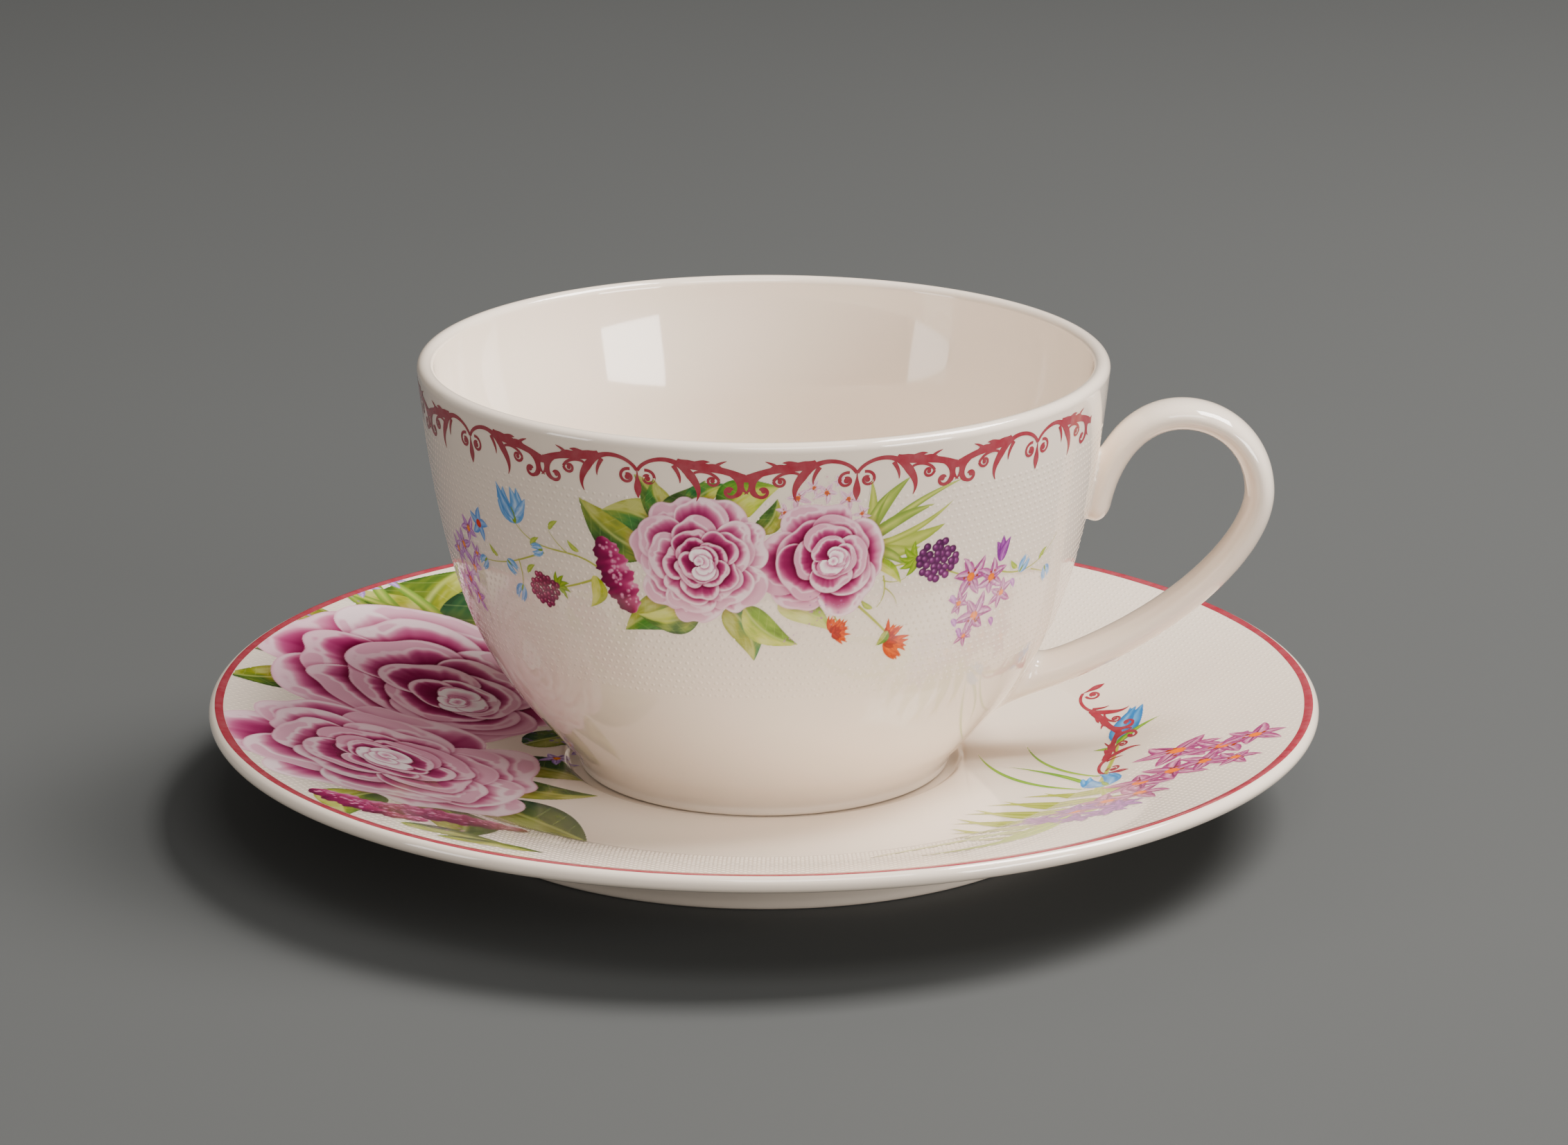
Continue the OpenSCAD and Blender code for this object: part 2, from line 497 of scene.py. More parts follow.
def wall_distance(p):
    r = np.hypot(p[:, 0], p[:, 1])
    lean = np.sqrt(1 + wall_slope(p[:, 2]) ** 2)
    return (r - wall_radius(p[:, 2])) / lean


def blend_width(p):
    """The slip fillet is fuller round the lower root than round the lobe."""
    return mix(ROOT_BLEND, TIP_BLEND, smooth((p[:, 2] - 18) / 12))


def smooth_union(a, b, k):
    h = np.maximum(k - np.abs(a - b), 0) / k
    return np.minimum(a, b) - h * h * h * k / 6


def surface_net(field, low, step):
    """One point in each grid cell that the zero level crosses, joined into quads across crossed edges."""
    inside = field < 0
    corners = [(i, j, k) for i in (0, 1) for j in (0, 1) for k in (0, 1)]
    shape = np.array(field.shape) - 1

    def part(array, offset):
        return array[tuple(slice(o, o + n) for o, n in zip(offset, shape))]

    count = sum(part(inside, c).astype(int) for c in corners)
    crossed = (count > 0) & (count < 8)
    total = np.zeros((*shape, 3))
    hits = np.zeros(tuple(shape))
    for c in corners:
        for axis in range(3):
            if c[axis]:
                continue
            d = tuple(v + (1 if i == axis else 0) for i, v in enumerate(c))
            a, b = part(field, c), part(field, d)
            cut = (a < 0) != (b < 0)
            share = np.where(cut, a / np.where(cut, a - b, 1), 0)
            place = np.array(c, float)
            for i in range(3):
                total[..., i] += np.where(cut, place[i] + (share if i == axis else 0), 0)
            hits += cut
    number = np.full(tuple(shape), -1)
    number[crossed] = np.arange(crossed.sum())
    cell = np.argwhere(crossed)
    points = (cell + total[crossed] / hits[crossed][:, None]) * step + low
    faces = []
    for axis in range(3):
        u, v = (axis + 1) % 3, (axis + 2) % 3
        a = np.take(inside, range(field.shape[axis] - 1), axis)
        b = np.take(inside, range(1, field.shape[axis]), axis)
        for flip, edge in ((False, a & ~b), (True, ~a & b)):
            spots = np.argwhere(edge)
            keep = (spots[:, u] > 0) & (spots[:, v] > 0) & (spots[:, u] < shape[u]) & (spots[:, v] < shape[v])
            spots = spots[keep]
            quad = []
            for du, dv in ((1, 1), (0, 1), (0, 0), (1, 0)):
                s = spots.copy()
                s[:, u] -= du
                s[:, v] -= dv
                quad.append(number[tuple(s.T)])
            quad = np.stack(quad, 1)
            faces.append(quad[:, ::-1] if flip else quad)
    return points, np.vstack(faces)


def make_handle(glaze):
    strap = Strap()
    step = 0.34
    low = np.array([28.5, -7.5, 3.0])
    count = np.ceil((np.array([72.5, 7.5, 53.5]) - low) / step).astype(int)
    grid = np.stack(np.meshgrid(*[low[i] + step * np.arange(count[i]) for i in range(3)], indexing="ij"), -1)

    def both(p):
        return strap.distance(p), wall_distance(p)

    def field(p):
        a, b = both(p)
        return smooth_union(a, b, blend_width(p))

    flat = grid.reshape(-1, 3)
    values = np.concatenate([field(part) for part in np.array_split(flat, 60)])
    points, faces = surface_net(values.reshape(grid.shape[:3]), low, step)

    def slope(p, reach=0.05):
        return np.stack([(field(p + d) - field(p - d)) / (2 * reach) for d in np.eye(3) * reach], -1)

    for _ in range(3):
        for part in np.array_split(np.arange(len(points)), 8):
            g = slope(points[part])
            points[part] -= g * (field(points[part]) / np.maximum((g * g).sum(1), 0.2))[:, None]
    a = np.concatenate([strap.distance(part) for part in np.array_split(points, 8)])
    b = wall_distance(points)
    proud = (a < b + blend_width(points)) & (points[:, 2] > low[2] + 1)
    faces = faces[proud[faces].any(1)]
    rim = ~proud
    outward = points[:, :2] / np.linalg.norm(points[:, :2], axis=1, keepdims=True)
    points[rim, :2] -= 0.012 * outward[rim]
    used = np.unique(faces)
    renumber = np.zeros(len(points), int)
    renumber[used] = np.arange(len(used))
    points = points[used] + [0, 0, CUP_Z]
    piece = add_piece("cup_handle_glazed", points, renumber[faces], [glaze], "cup")
    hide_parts("cup_handle")


# ---- paint: washes laid on a grid of points, in millimetres ----


RICHER = 1.22


def richer(linear):
    """Moves linear colours away from their own grey, because glossy glaze pales what lies under it."""
    grey = linear @ np.array([0.21, 0.72, 0.07])
    return np.clip(grey[:, None] + RICHER * (linear - grey[:, None]), 0, 1)


def shade(hex_colour):
    return np.array([int(hex_colour[i:i + 2], 16) / 255 for i in (0, 2, 4)])


def to_linear(rgb):
    return np.where(rgb <= 0.04045, rgb / 12.92, ((rgb + 0.055) / 1.055) ** 2.4)


def to_screen(rgb):
    rgb = np.asarray(rgb, float)
    return np.where(rgb <= 0.0031308, rgb * 12.92, 1.055 * rgb ** (1 / 2.4) - 0.055)


def cloud(u, v, size, seed):
    """Smooth noise from 0 to 1, one blob per size."""
    x, y = u / size, v / size
    xi, yi = np.floor(x), np.floor(y)
    fx, fy = smooth(x - xi), smooth(y - yi)

    def dice(a, b):
        n = np.sin(a * 127.1 + b * 311.7 + seed * 74.7) * 43758.5453
        return n - np.floor(n)

    low = mix(dice(xi, yi), dice(xi + 1, yi), fx)
    high = mix(dice(xi, yi + 1), dice(xi + 1, yi + 1), fx)
    return mix(low, high, fy)


def wash(t, *stops):
    """Colour along a ramp of (place, colour) stops."""
    places = [s[0] for s in stops]
    colours = np.array([s[1] for s in stops])
    return np.stack([np.interp(t, places, colours[:, i]) for i in range(3)], -1)


class Sheet:
    """A transfer sheet: the colour and the cover of paint at each point of a grid."""

    soft = 0.13

    def __init__(self, low, high, step):
        self.low, self.step = np.array(low, float), step
        self.u = np.arange(low[0], high[0] + step / 2, step)
        self.v = np.arange(low[1], high[1] + step / 2, step)
        self.rgb = np.ones((len(self.v), len(self.u), 3)) * to_screen(IVORY)
        self.cover = np.zeros((len(self.v), len(self.u)))

    def patch(self, x, y, reach):
        i0, i1 = [int(np.clip((x + d - self.low[0]) / self.step, 0, len(self.u))) for d in (-reach, reach)]
        j0, j1 = [int(np.clip((y + d - self.low[1]) / self.step, 0, len(self.v))) for d in (-reach, reach)]
        window = (slice(j0, j1), slice(i0, i1))
        u, v = np.meshgrid(self.u[i0:i1], self.v[j0:j1])
        return window, u, v

    def lay(self, window, depth, rgb, strength=1.0):
        """Paints where depth, in millimetres inside the shape, is positive."""
        mask = smooth(depth / self.soft + 0.5) * strength
        self.rgb[window] = mix(self.rgb[window], rgb, mask[..., None])
        self.cover[window] = 1 - (1 - self.cover[window]) * (1 - mask)

    def deepen(self, window, mask, rgb):
        """Glazes a shadow over paint that is already there."""
        mask = mask * self.cover[window]
        self.rgb[window] = mix(self.rgb[window], self.rgb[window] * rgb, mask[..., None])


def turned(u, v, x, y, angle):
    c, s = np.cos(angle), np.sin(angle)
    du, dv = u - x, v - y
    return du * c + dv * s, dv * c - du * s


def petal(sheet, x, y, angle, reach, spread, ramp, seed, squash=1.0, tilt=0.0, shadow=0.5):
    """One broad petal seen from above: a fan from (x, y), with a pale turned edge and a dark throat."""
    window, u, v = sheet.patch(x, y, reach * 1.35 + 1)
    if u.size == 0:
        return
    a, b = turned(u, v, x, y, tilt)
    b = b / squash
    rho = np.hypot(a, b) + 1e-6
    phi = (np.arctan2(b, a) - angle + np.pi) % (2 * np.pi) - np.pi
    phi = phi / spread
    wobble = 0.10 * (cloud(phi * 1.7, phi * 0 + seed, 1.0, seed) - 0.5) + 0.035 * np.sin(4 * phi + seed)
    body = np.clip(1 - np.abs(phi) ** 3.2, 0, None) ** 0.42
    notch = 0.06 * np.exp(-((phi - 0.35 * np.sin(seed)) / 0.18) ** 2)
    depth = reach * body * (1 + wobble - notch) - rho
    if shadow:
        fall = np.clip(1 + depth / (0.10 * reach + 0.2), 0, 1) ** 1.5 * (np.abs(phi) < 1.15)
        sheet.deepen(window, fall * shadow, np.array([0.66, 0.36, 0.50]))
    t = np.clip(depth / reach, 0, 1)
    vein = cloud(phi * 13 + 3 * seed, rho / reach * 1.3, 1.0, seed + 3) - 0.5
    blot = cloud(u + 9 * seed, v, reach * 0.42, seed + 7) - 0.5
    side = 0.10 * np.sin(phi * 2.2 + 5 * seed)
    glow = np.exp(-((t - 0.10) / 0.07) ** 2 - ((phi - 0.4 * np.cos(seed)) / 0.5) ** 2)
    t = t + (0.07 * vein + 0.30 * blot + side - 0.10 * glow) * smooth(t * 9)
    sheet.lay(window, np.minimum(depth, (1 - np.abs(phi)) * rho * spread), wash(t, *ramp))


MAUVE = ("f4dfe3", "c8849e", "9e426c", "7c2049", "601235")


def rose(sheet, x, y, radius, rings, counts, seed, bud=(0.0, 0.0), squash=1.0, tilt=0.0, jitter=0.12,
         deep_ring=0.4, wide=1.35, colours=MAUVE, depth=1.0):
    """A full-blown rose: rings of overlapping petals laid from the outside in, closing on a pale bud."""
    dice = np.random.default_rng(seed)
    pale, mid, deep, dark, throat = [shade(c) for c in colours]
    for k, (share, count) in enumerate(zip(rings, counts)):
        inner = k / max(1, len(rings) - 1)
        cx, cy = x + bud[0] * radius * inner, y + bud[1] * radius * inner
        dark_here = np.exp(-((share - deep_ring) / 0.2) ** 2)
        start = dice.uniform(0, 2 * np.pi)
        for i in dice.permutation(count):
            angle = start + 2 * np.pi * (i + dice.uniform(-jitter, jitter)) / count
            reach = radius * share * dice.uniform(0.92, 1.05)
            tone = 0.28 + 0.6 * dark_here + 0.30 * np.cos(angle - 2.2) + dice.uniform(-0.16, 0.16)
            tone = np.clip(tone * depth, 0, 1)
            edge = mix(pale, mid, 0.35 * tone)
            ramp = [(0.0, mix(edge, mid, 0.5)), (0.02, edge), (0.05 + 0.04 * inner, edge),
                    (0.09 + 0.05 * inner, mix(pale, mid, 0.55 + 0.45 * tone)),
                    (0.18, mix(mid, deep, 0.15 + 0.75 * tone)),
                    (0.32, mix(deep, dark, tone)), (0.55, mix(dark, throat, tone))]
            petal(sheet, cx, cy, angle, reach, np.pi / count * wide, ramp, seed * 3.1 + k * 7.7 + i * 1.3,
                  squash, tilt, shadow=0.22 + 0.6 * dark_here)
    heart(sheet, x + bud[0] * radius, y + bud[1] * radius, radius * rings[-1] * 0.72, seed, squash, tilt)


def heart(sheet, x, y, radius, seed, squash, tilt):
    """The closed bud at the middle of a rose: a few small pale petals folded over each other."""
    dice = np.random.default_rng(seed + 500)
    pale, blush, fold = shade("fdf3f4"), shade("e6b6c9"), shade("a8486f")
    for k, (share, spread) in enumerate(((1.0, 2.2), (0.95, 2.0), (0.75, 2.6), (0.55, 3.1), (0.34, 3.6))):
        way = dice.uniform(0, 2 * np.pi)
        cx, cy = x + 0.2 * radius * np.cos(way), y + 0.2 * radius * np.sin(way)
        ramp = [(0.0, mix(blush, fold, 0.4)), (0.05, pale), (0.3, pale), (0.6, blush),
                (1.0, mix(blush, fold, 0.5))]
        petal(sheet, cx, cy, way, radius * share, spread, ramp, seed + 11.3 * k, squash, tilt, shadow=0.6)


def leaf(sheet, base, tip, width, seed, bend=0.15, light="9a9e54", dark="4b663a", rib="cccf92"):
    """A pointed leaf with a pale midrib, side veins and one half darker than the other."""
    base, tip = np.array(base, float), np.array(tip, float)
    length = np.hypot(*(tip - base))
    centre = (base + tip) / 2
    window, u, v = sheet.patch(centre[0], centre[1], length * 0.62 + width)
    if u.size == 0:
        return
    a, b = turned(u, v, base[0], base[1], np.arctan2(*(tip - base)[::-1]))
    s = np.clip(a / length, 0, 1)
    b = b - bend * length * 4 * s * (1 - s)
    half = width / 2 * np.sin(np.pi * s ** 0.72) ** 0.85 * (1.12 - 0.3 * s)
    inside = (half - np.abs(b)) * 0.92
    inside = np.where((a < 0) | (a > length), -1, inside)
    side = b / (half + 0.05)
    vein = np.abs(((s * length / (0.16 * length) + np.abs(side) * 0.9) % 1) - 0.5) * 2
    blot = cloud(u, v, length * 0.16, seed) - 0.5
    fine = cloud(a * 0.6, b * 2.5, length * 0.05, seed + 2) - 0.5
    tone = 0.46 + 0.34 * np.sign(b) * smooth(np.abs(side) * 3) + 0.65 * blot + 0.25 * fine
    tone = tone + 0.22 * smooth((np.abs(side) - 0.72) / 0.28) + 0.15 * (1 - s)
    rgb = wash(tone, (0.0, mix(shade(light), shade("f0edc0"), 0.35)), (0.35, shade(light)),
               (0.7, mix(shade(light), shade(dark), 0.6)), (1.0, shade(dark)), (1.35, shade(dark) * 0.72))
    line = smooth((vein - 0.84) / 0.16) * smooth(np.abs(side) * 4) * 0.22
    rgb = mix(rgb, shade(rib), line[..., None])
    middle = smooth(1 - np.abs(b) / (0.05 * width + 0.07)) * 0.7 * (1 - 0.4 * s)
    rgb = mix(rgb, shade(rib), middle[..., None])
    sheet.lay(window, inside, rgb)


def stroke(sheet, points, thick, thin, colour, edge=None, seed=0.0):
    """A brush stroke along a curve, thick where it starts and thin where it ends."""
    line = curve(points, 26)
    centre = line.mean(0)
    reach = np.abs(line - centre).max() + thick + 0.3
    window, u, v = sheet.patch(centre[0], centre[1], reach)
    if u.size == 0:
        return
    gap = np.full(u.shape, 1e9)
    at = np.zeros(u.shape)
    for i, (p, q) in enumerate(zip(line[:-1], line[1:])):
        way = q - p
        t = np.clip(((u - p[0]) * way[0] + (v - p[1]) * way[1]) / (way @ way + 1e-9), 0, 1)
        d = np.hypot(u - p[0] - t * way[0], v - p[1] - t * way[1])
        closer = d < gap
        gap = np.where(closer, d, gap)
        at = np.where(closer, (i + t) / (len(line) - 1), at)
    half = mix(thick, thin, at) / 2
    t = np.clip(gap / (half + 1e-6), 0, 1) + 0.3 * (cloud(u, v, 0.8, seed) - 0.5)
    rgb = wash(t, (0.0, colour), (1.0, edge if edge is not None else colour * 0.8))
    sheet.lay(window, half - gap, rgb)


def blade(sheet, base, tip, width, colour, edge, bend=0.1, seed=0.0):
    """A narrow grass blade or petal, widest a third of the way up."""
    base, tip = np.array(base, float), np.array(tip, float)
    length = np.hypot(*(tip - base))
    centre = (base + tip) / 2
    window, u, v = sheet.patch(centre[0], centre[1], length * 0.6 + width)
    if u.size == 0:
        return
    a, b = turned(u, v, base[0], base[1], np.arctan2(*(tip - base)[::-1]))
    s = np.clip(a / length, 0, 1)
    b = b - bend * length * 4 * s * (1 - s)
    half = width / 2 * np.sin(np.pi * s ** 0.7) ** 0.8
    inside = np.where((a < 0) | (a > length), -1, half - np.abs(b))
    t = np.abs(b) / (half + 0.05) + 0.5 * (cloud(a, b * 3, length * 0.12, seed) - 0.5) + 0.25 * s
    sheet.lay(window, inside, wash(t, (0.0, colour), (0.9, edge)))


def spot(sheet, x, y, r, colour, edge=None, strength=1.0):
    window, u, v = sheet.patch(x, y, r + 0.4)
    if u.size == 0:
        return
    d = np.hypot(u - x, v - y)
    rgb = wash(np.clip(d / r, 0, 1), (0.0, colour), (1.0, edge if edge is not None else colour))
    sheet.lay(window, r - d, rgb, strength)


def berry(sheet, x, y, size, seed, angle, dark, mid, pale):
    """A bramble fruit: round drupelets packed in an oval, darker to one side, with small green sepals."""
    dice = np.random.default_rng(seed)
    green, pale_green = shade("6f8f3c"), shade("a8b65a")
    root = np.array([x, y]) + size * 0.52 * np.array([np.cos(angle), np.sin(angle)])
    for k in range(5):
        way = angle + (k - 2) * 0.62
        tip = root + size * 0.42 * np.array([np.cos(way), np.sin(way)])
        blade(sheet, root, tip, size * 0.15, pale_green, green, 0.1, seed + k)
    gap = size * 0.155
    rows = int(size / gap) + 2
    spots = []
    for i in range(-rows, rows + 1):
        for j in range(-rows, rows + 1):
            a, b = (i + 0.5 * (j % 2)) * gap, j * gap * 0.87
            if (a / (size * 0.52)) ** 2 + (b / (size * 0.42)) ** 2 < 1:
                spots.append((a + gap * dice.uniform(-0.2, 0.2), b + gap * dice.uniform(-0.2, 0.2)))
    spots.sort(key=lambda s: s[1])
    for a, b in spots:
        px = x + a * np.cos(angle) - b * np.sin(angle)
        py = y + a * np.sin(angle) + b * np.cos(angle)
        lit = np.clip(0.5 - 0.5 * a / size + 0.7 * b / size + dice.uniform(-0.25, 0.25), 0, 1)
        base = mix(shade(dark), shade(mid), lit)
        spot(sheet, px, py, gap * 0.60, base, base * 0.62)
        spot(sheet, px - gap * 0.12, py + gap * 0.16, gap * 0.22, shade(pale), shade(mid), 0.35 + 0.5 * lit)


def star_flower(sheet, x, y, size, seed, count=6, hue="98487f", pale="e9c6d6", eye="f08a1c",
                squash=1.0, tilt=0.0):
    """A small lilac flower with narrow pointed petals round an orange eye."""
    dice = np.random.default_rng(seed)
    start = dice.uniform(0, 2 * np.pi)
    for i in range(count):
        way = start + 2 * np.pi * (i + dice.uniform(-0.15, 0.15)) / count
        far = size / 2 * dice.uniform(0.8, 1.1)
        du, dv = far * np.cos(way), far * np.sin(way) * squash
        c, s = np.cos(tilt), np.sin(tilt)
        tip = (x + du * c - dv * s, y + du * s + dv * c)
        blade(sheet, (x, y), tip, size * 0.22, shade(pale), shade(hue), dice.uniform(-0.12, 0.12), seed + i)
        stroke(sheet, [(mix(x, tip[0], share), mix(y, tip[1], share)) for share in (0.0, 0.4, 0.75)],
               size * 0.035, size * 0.01, shade(hue) * 0.85)
    spot(sheet, x, y, size * 0.09, shade(eye), shade("d9772a"))
    for i in range(5):
        way = dice.uniform(0, 2 * np.pi)
        far = size * dice.uniform(0.10, 0.17)
        spot(sheet, x + far * np.cos(way), y + far * np.sin(way), size * 0.025, shade("8c3f22"))


def bell(sheet, base, tip, width, seed, pale="c3d6ea", deep="5f8fc4"):
    """A blue bell or bud: a few blades that open from one point."""
    base, tip = np.array(base, float), np.array(tip, float)
    way = tip - base
    side = np.array([-way[1], way[0]]) / np.hypot(*way)
    for k, share in enumerate((-0.42, 0.42, -0.15, 0.15)):
        end = tip + side * width * share - way * 0.12 * abs(share)
        blade(sheet, base, end, width * 0.48, shade(pale), shade(deep), 0.12 * np.sign(share), seed + k)
    blade(sheet, base, base + way * 0.45, width * 0.2, shade("93a94e"), shade("6c8a3c"), 0.0, seed)


def marigold(sheet, x, y, size, seed, angle=0.0):
    """An orange flower head half turned away: short ragged strokes in a fan."""
    dice = np.random.default_rng(seed)
    layers = (("d45c00", "a83600"), ("e07000", "bc4600"), ("b83800", "862200"))
    for layer, (colour, edge) in enumerate(layers):
        for i in range(17):
            way = angle + dice.uniform(-1.35, 1.35)
            far = size * (0.58 - 0.13 * layer) * dice.uniform(0.75, 1.05)
            tip = (x + far * np.cos(way), y + far * np.sin(way))
            blade(sheet, (x, y), tip, size * 0.13, shade(colour), shade(edge),
                  dice.uniform(-0.1, 0.1), seed + i)


def ruffle(sheet, a, b, width, seed, deep="7d1c48", pale="f0d4dd"):
    """A carnation seen from the side: a dark lens with pale flecks along its ragged upper edge."""
    dice = np.random.default_rng(seed)
    a, b = np.array(a, float), np.array(b, float)
    way = b - a
    length = np.hypot(*way)
    angle = np.arctan2(way[1], way[0])
    centre = (a + b) / 2
    window, u, v = sheet.patch(centre[0], centre[1], length * 0.62 + width * 0.6)
    p, q = turned(u, v, centre[0], centre[1], angle)
    s = p / (length / 2)
    frill = 1 + 0.12 * np.sin(17 * s + seed) + 0.06 * np.sin(41 * s)
    half = width / 2 * np.sqrt(np.clip(1 - s * s, 0, 1)) * frill
    t = q / (half + 0.05)
    folds = cloud(p * 3.2, q * 0.8, width * 0.35, seed) - 0.5
    rgb = wash(0.5 + 0.5 * t + 0.5 * folds, (0.0, shade("5b1236")), (0.45, shade(deep)),
               (0.8, shade("a9446f")), (1.0, shade("cf86a4")))
    sheet.lay(window, np.where(np.abs(s) < 0.99, (half - np.abs(q)) * 0.8, -1), rgb)
    for _ in range(46):
        along = dice.uniform(-0.85, 0.85)
        over = dice.normal(0.1, 0.28)
        c, d = np.cos(angle), np.sin(angle)
        px, qx = along * length / 2, over * width / 2
        size = width * dice.uniform(0.02, 0.05)
        spot(sheet, centre[0] + px * c - qx * d, centre[1] + px * d + qx * c, size + 0.06, shade(pale),
             shade("c06f93"), dice.uniform(0.5, 0.9))


def speckle(sheet, x, y, spread, count, seed, colour="c9a3cf", size=0.16):
    dice = np.random.default_rng(seed)
    for _ in range(count):
        px, py = x + spread * dice.uniform(-1.2, 1.2), y + spread * dice.uniform(-1.2, 1.2)
        spot(sheet, px, py, size * dice.uniform(0.5, 1.2), shade(colour), None, dice.uniform(0.3, 0.8))


# ---- the flower groups ----

STEM, STEM_EDGE = shade("a3ac58"), shade("b9b877")


def stem(sheet, points, thick=0.35, thin=0.15, seed=0.0):
    stroke(sheet, points, thick, thin, STEM, STEM_EDGE, seed)


def spray_leaves(sheet):
    """Leaves that show from behind the roses."""
    leaf(sheet, (-14.5, 42.5), (-24.2, 49.3), 6.4, 11, 0.10)
    leaf(sheet, (-12.0, 45.0), (-21.0, 48.0), 5.4, 12, -0.16, dark="4c7a48")
    leaf(sheet, (-12.5, 47.0), (-16.2, 53.6), 4.0, 13, -0.10)
    leaf(sheet, (-11.5, 48.0), (-13.6, 53.2), 3.6, 14, 0.14, dark="4f7d45")
    leaf(sheet, (-12.5, 48.2), (-7.0, 53.4), 4.6, 15, -0.14)
    leaf(sheet, (-9.5, 49.2), (-4.2, 52.9), 3.2, 16, 0.10, light="a9b455", dark="3f6e42")
    leaf(sheet, (-5.4, 48.0), (2.2, 52.6), 5.6, 17, 0.14, light="b9c263", dark="55803f")
    leaf(sheet, (-0.6, 46.0), (1.9, 51.0), 3.0, 18, -0.12)
    leaf(sheet, (-9.5, 35.0), (-19.2, 31.0), 5.6, 19, -0.10, dark="4e7a40")
    leaf(sheet, (-8.0, 35.5), (-17.0, 33.6), 4.4, 20, 0.16, light="c0c66e")
    leaf(sheet, (-4.6, 35.5), (-1.2, 27.6), 5.0, 21, 0.12, dark="3f7350")
    leaf(sheet, (-2.4, 35.5), (4.8, 30.0), 4.2, 22, -0.12, light="c3c973", dark="7d9a48")
    leaf(sheet, (2.0, 36.0), (9.4, 31.8), 3.8, 23, 0.10, light="cdd18a", dark="8da656")


def spray_grass(sheet):
    """Grass and long leaves at the right."""
    for k, (tip, width) in enumerate((((18.9, 52.9), 2.2), ((13.7, 53.0), 1.5), ((26.8, 51.6), 1.1),
                                      ((24.4, 45.6), 2.4), ((22.6, 48.6), 1.8), ((21.0, 42.8), 2.0),
                                      ((16.2, 51.2), 1.4), ((25.4, 48.8), 1.0), ((19.4, 40.2), 1.6))):
        blade(sheet, (12.6 + 0.3 * k % 1.2, 43.6), tip, width, shade("c2c67c"),
              shade(("7e9450", "98a65a")[k % 2]), (0.08, -0.07)[k % 2], 30 + k)


def spray_blossoms(sheet):
    """Cherry blossoms over the right rose."""
    for k, (x, y, size) in enumerate(((4.4, 51.0, 3.6), (8.0, 51.6, 3.4), (10.8, 50.6, 3.2), (2.8, 49.0, 2.8),
                                      (12.6, 48.4, 2.6), (6.4, 52.4, 2.4), (9.6, 53.2, 2.0))):
        star_flower(sheet, x, y, size, 40 + k, 5, "d9a5bd", "f5e4ea", "9a4b5f")
    speckle(sheet, 7.4, 51.0, 2.4, 26, 48, "c98aa4", 0.13)


def spray_carnation(sheet):
    """A carnation in profile, at the left."""
    ruffle(sheet, (-21.6, 44.2), (-17.6, 33.6), 4.8, 51)


def spray_stems(sheet):
    """Stems, with the small leaves along them."""
    stem(sheet, [(-22.6, 39.8), (-27.0, 42.4), (-31.6, 39.4), (-35.0, 42.0), (-36.6, 45.0)])
    stem(sheet, [(-31.0, 40.2), (-35.0, 38.6), (-39.0, 36.4), (-45.0, 36.4)])
    stem(sheet, [(-36.0, 38.2), (-35.4, 35.6), (-36.4, 33.6)], 0.28, 0.12)
    stem(sheet, [(-22.6, 38.0), (-26.0, 36.4), (-29.6, 35.4)], 0.42, 0.28)
    stem(sheet, [(-27.0, 41.0), (-28.6, 42.0), (-29.6, 43.6)], 0.25, 0.1)
    stem(sheet, [(13.0, 39.6), (17.0, 41.0), (22.0, 40.4)], 0.4, 0.25)
    stem(sheet, [(16.0, 38.6), (17.6, 37.8), (19.2, 38.6)], 0.25, 0.1)
    stem(sheet, [(16.0, 39.2), (16.8, 36.4), (15.4, 34.8)], 0.3, 0.12)
    stem(sheet, [(16.4, 37.4), (17.8, 36.4), (18.2, 35.0)], 0.25, 0.1)
    stem(sheet, [(10.4, 37.4), (14.6, 33.6), (17.4, 30.6)], 0.5, 0.35)
    stem(sheet, [(8.4, 36.0), (9.4, 34.4), (10.2, 32.8)], 0.35, 0.25)
    stem(sheet, [(35.4, 36.6), (40.0, 35.0), (44.0, 35.6), (47.6, 39.2)], 0.32, 0.12)
    stem(sheet, [(42.0, 35.4), (44.6, 34.6), (46.0, 34.0)], 0.25, 0.12)
    stem(sheet, [(25.2, 38.8), (28.0, 37.6), (30.0, 36.6)], 0.35, 0.2)
    for k, (x, y) in enumerate(((-29.6, 43.8), (-25.0, 41.4), (-33.2, 40.8), (-40.6, 37.6), (-34.6, 36.6),
                                (16.0, 41.6), (19.6, 39.0), (14.8, 34.6), (43.6, 36.4), (38.6, 36.4))):
        blade(sheet, (x, y), (x + 1.7 * (-1) ** k, y + 1.5), 0.8, shade("c3c977"), shade("8ea650"),
              0.1, 60 + k)
    leaf(sheet, (-22.8, 38.4), (-24.2, 33.6), 2.5, 71, 0.2, light="d0cf7c", dark="a3ac4e")
    leaf(sheet, (14.4, 41.6), (18.6, 37.8), 1.8, 72, 0.1, light="c9cd76", dark="8fa84c")


def spray_lilac(sheet):
    """The lilac cluster at the far left."""
    lilacs = ((-47.6, 39.8, 5.2), (-50.4, 36.8, 5.6), (-48.2, 34.0, 5.4), (-51.2, 31.6, 5.2),
              (-53.4, 35.4, 5.0), (-49.4, 29.4, 4.6), (-54.0, 30.4, 4.6), (-46.4, 36.6, 3.6))
    for k, (x, y, size) in enumerate(lilacs):
        star_flower(sheet, x, y, size, 80 + k, 5, "9c5fa6", "e2c0de", "ee9a3a")
    speckle(sheet, -50.0, 33.0, 3.4, 46, 90)
    speckle(sheet, -49.0, 27.6, 1.6, 16, 91)


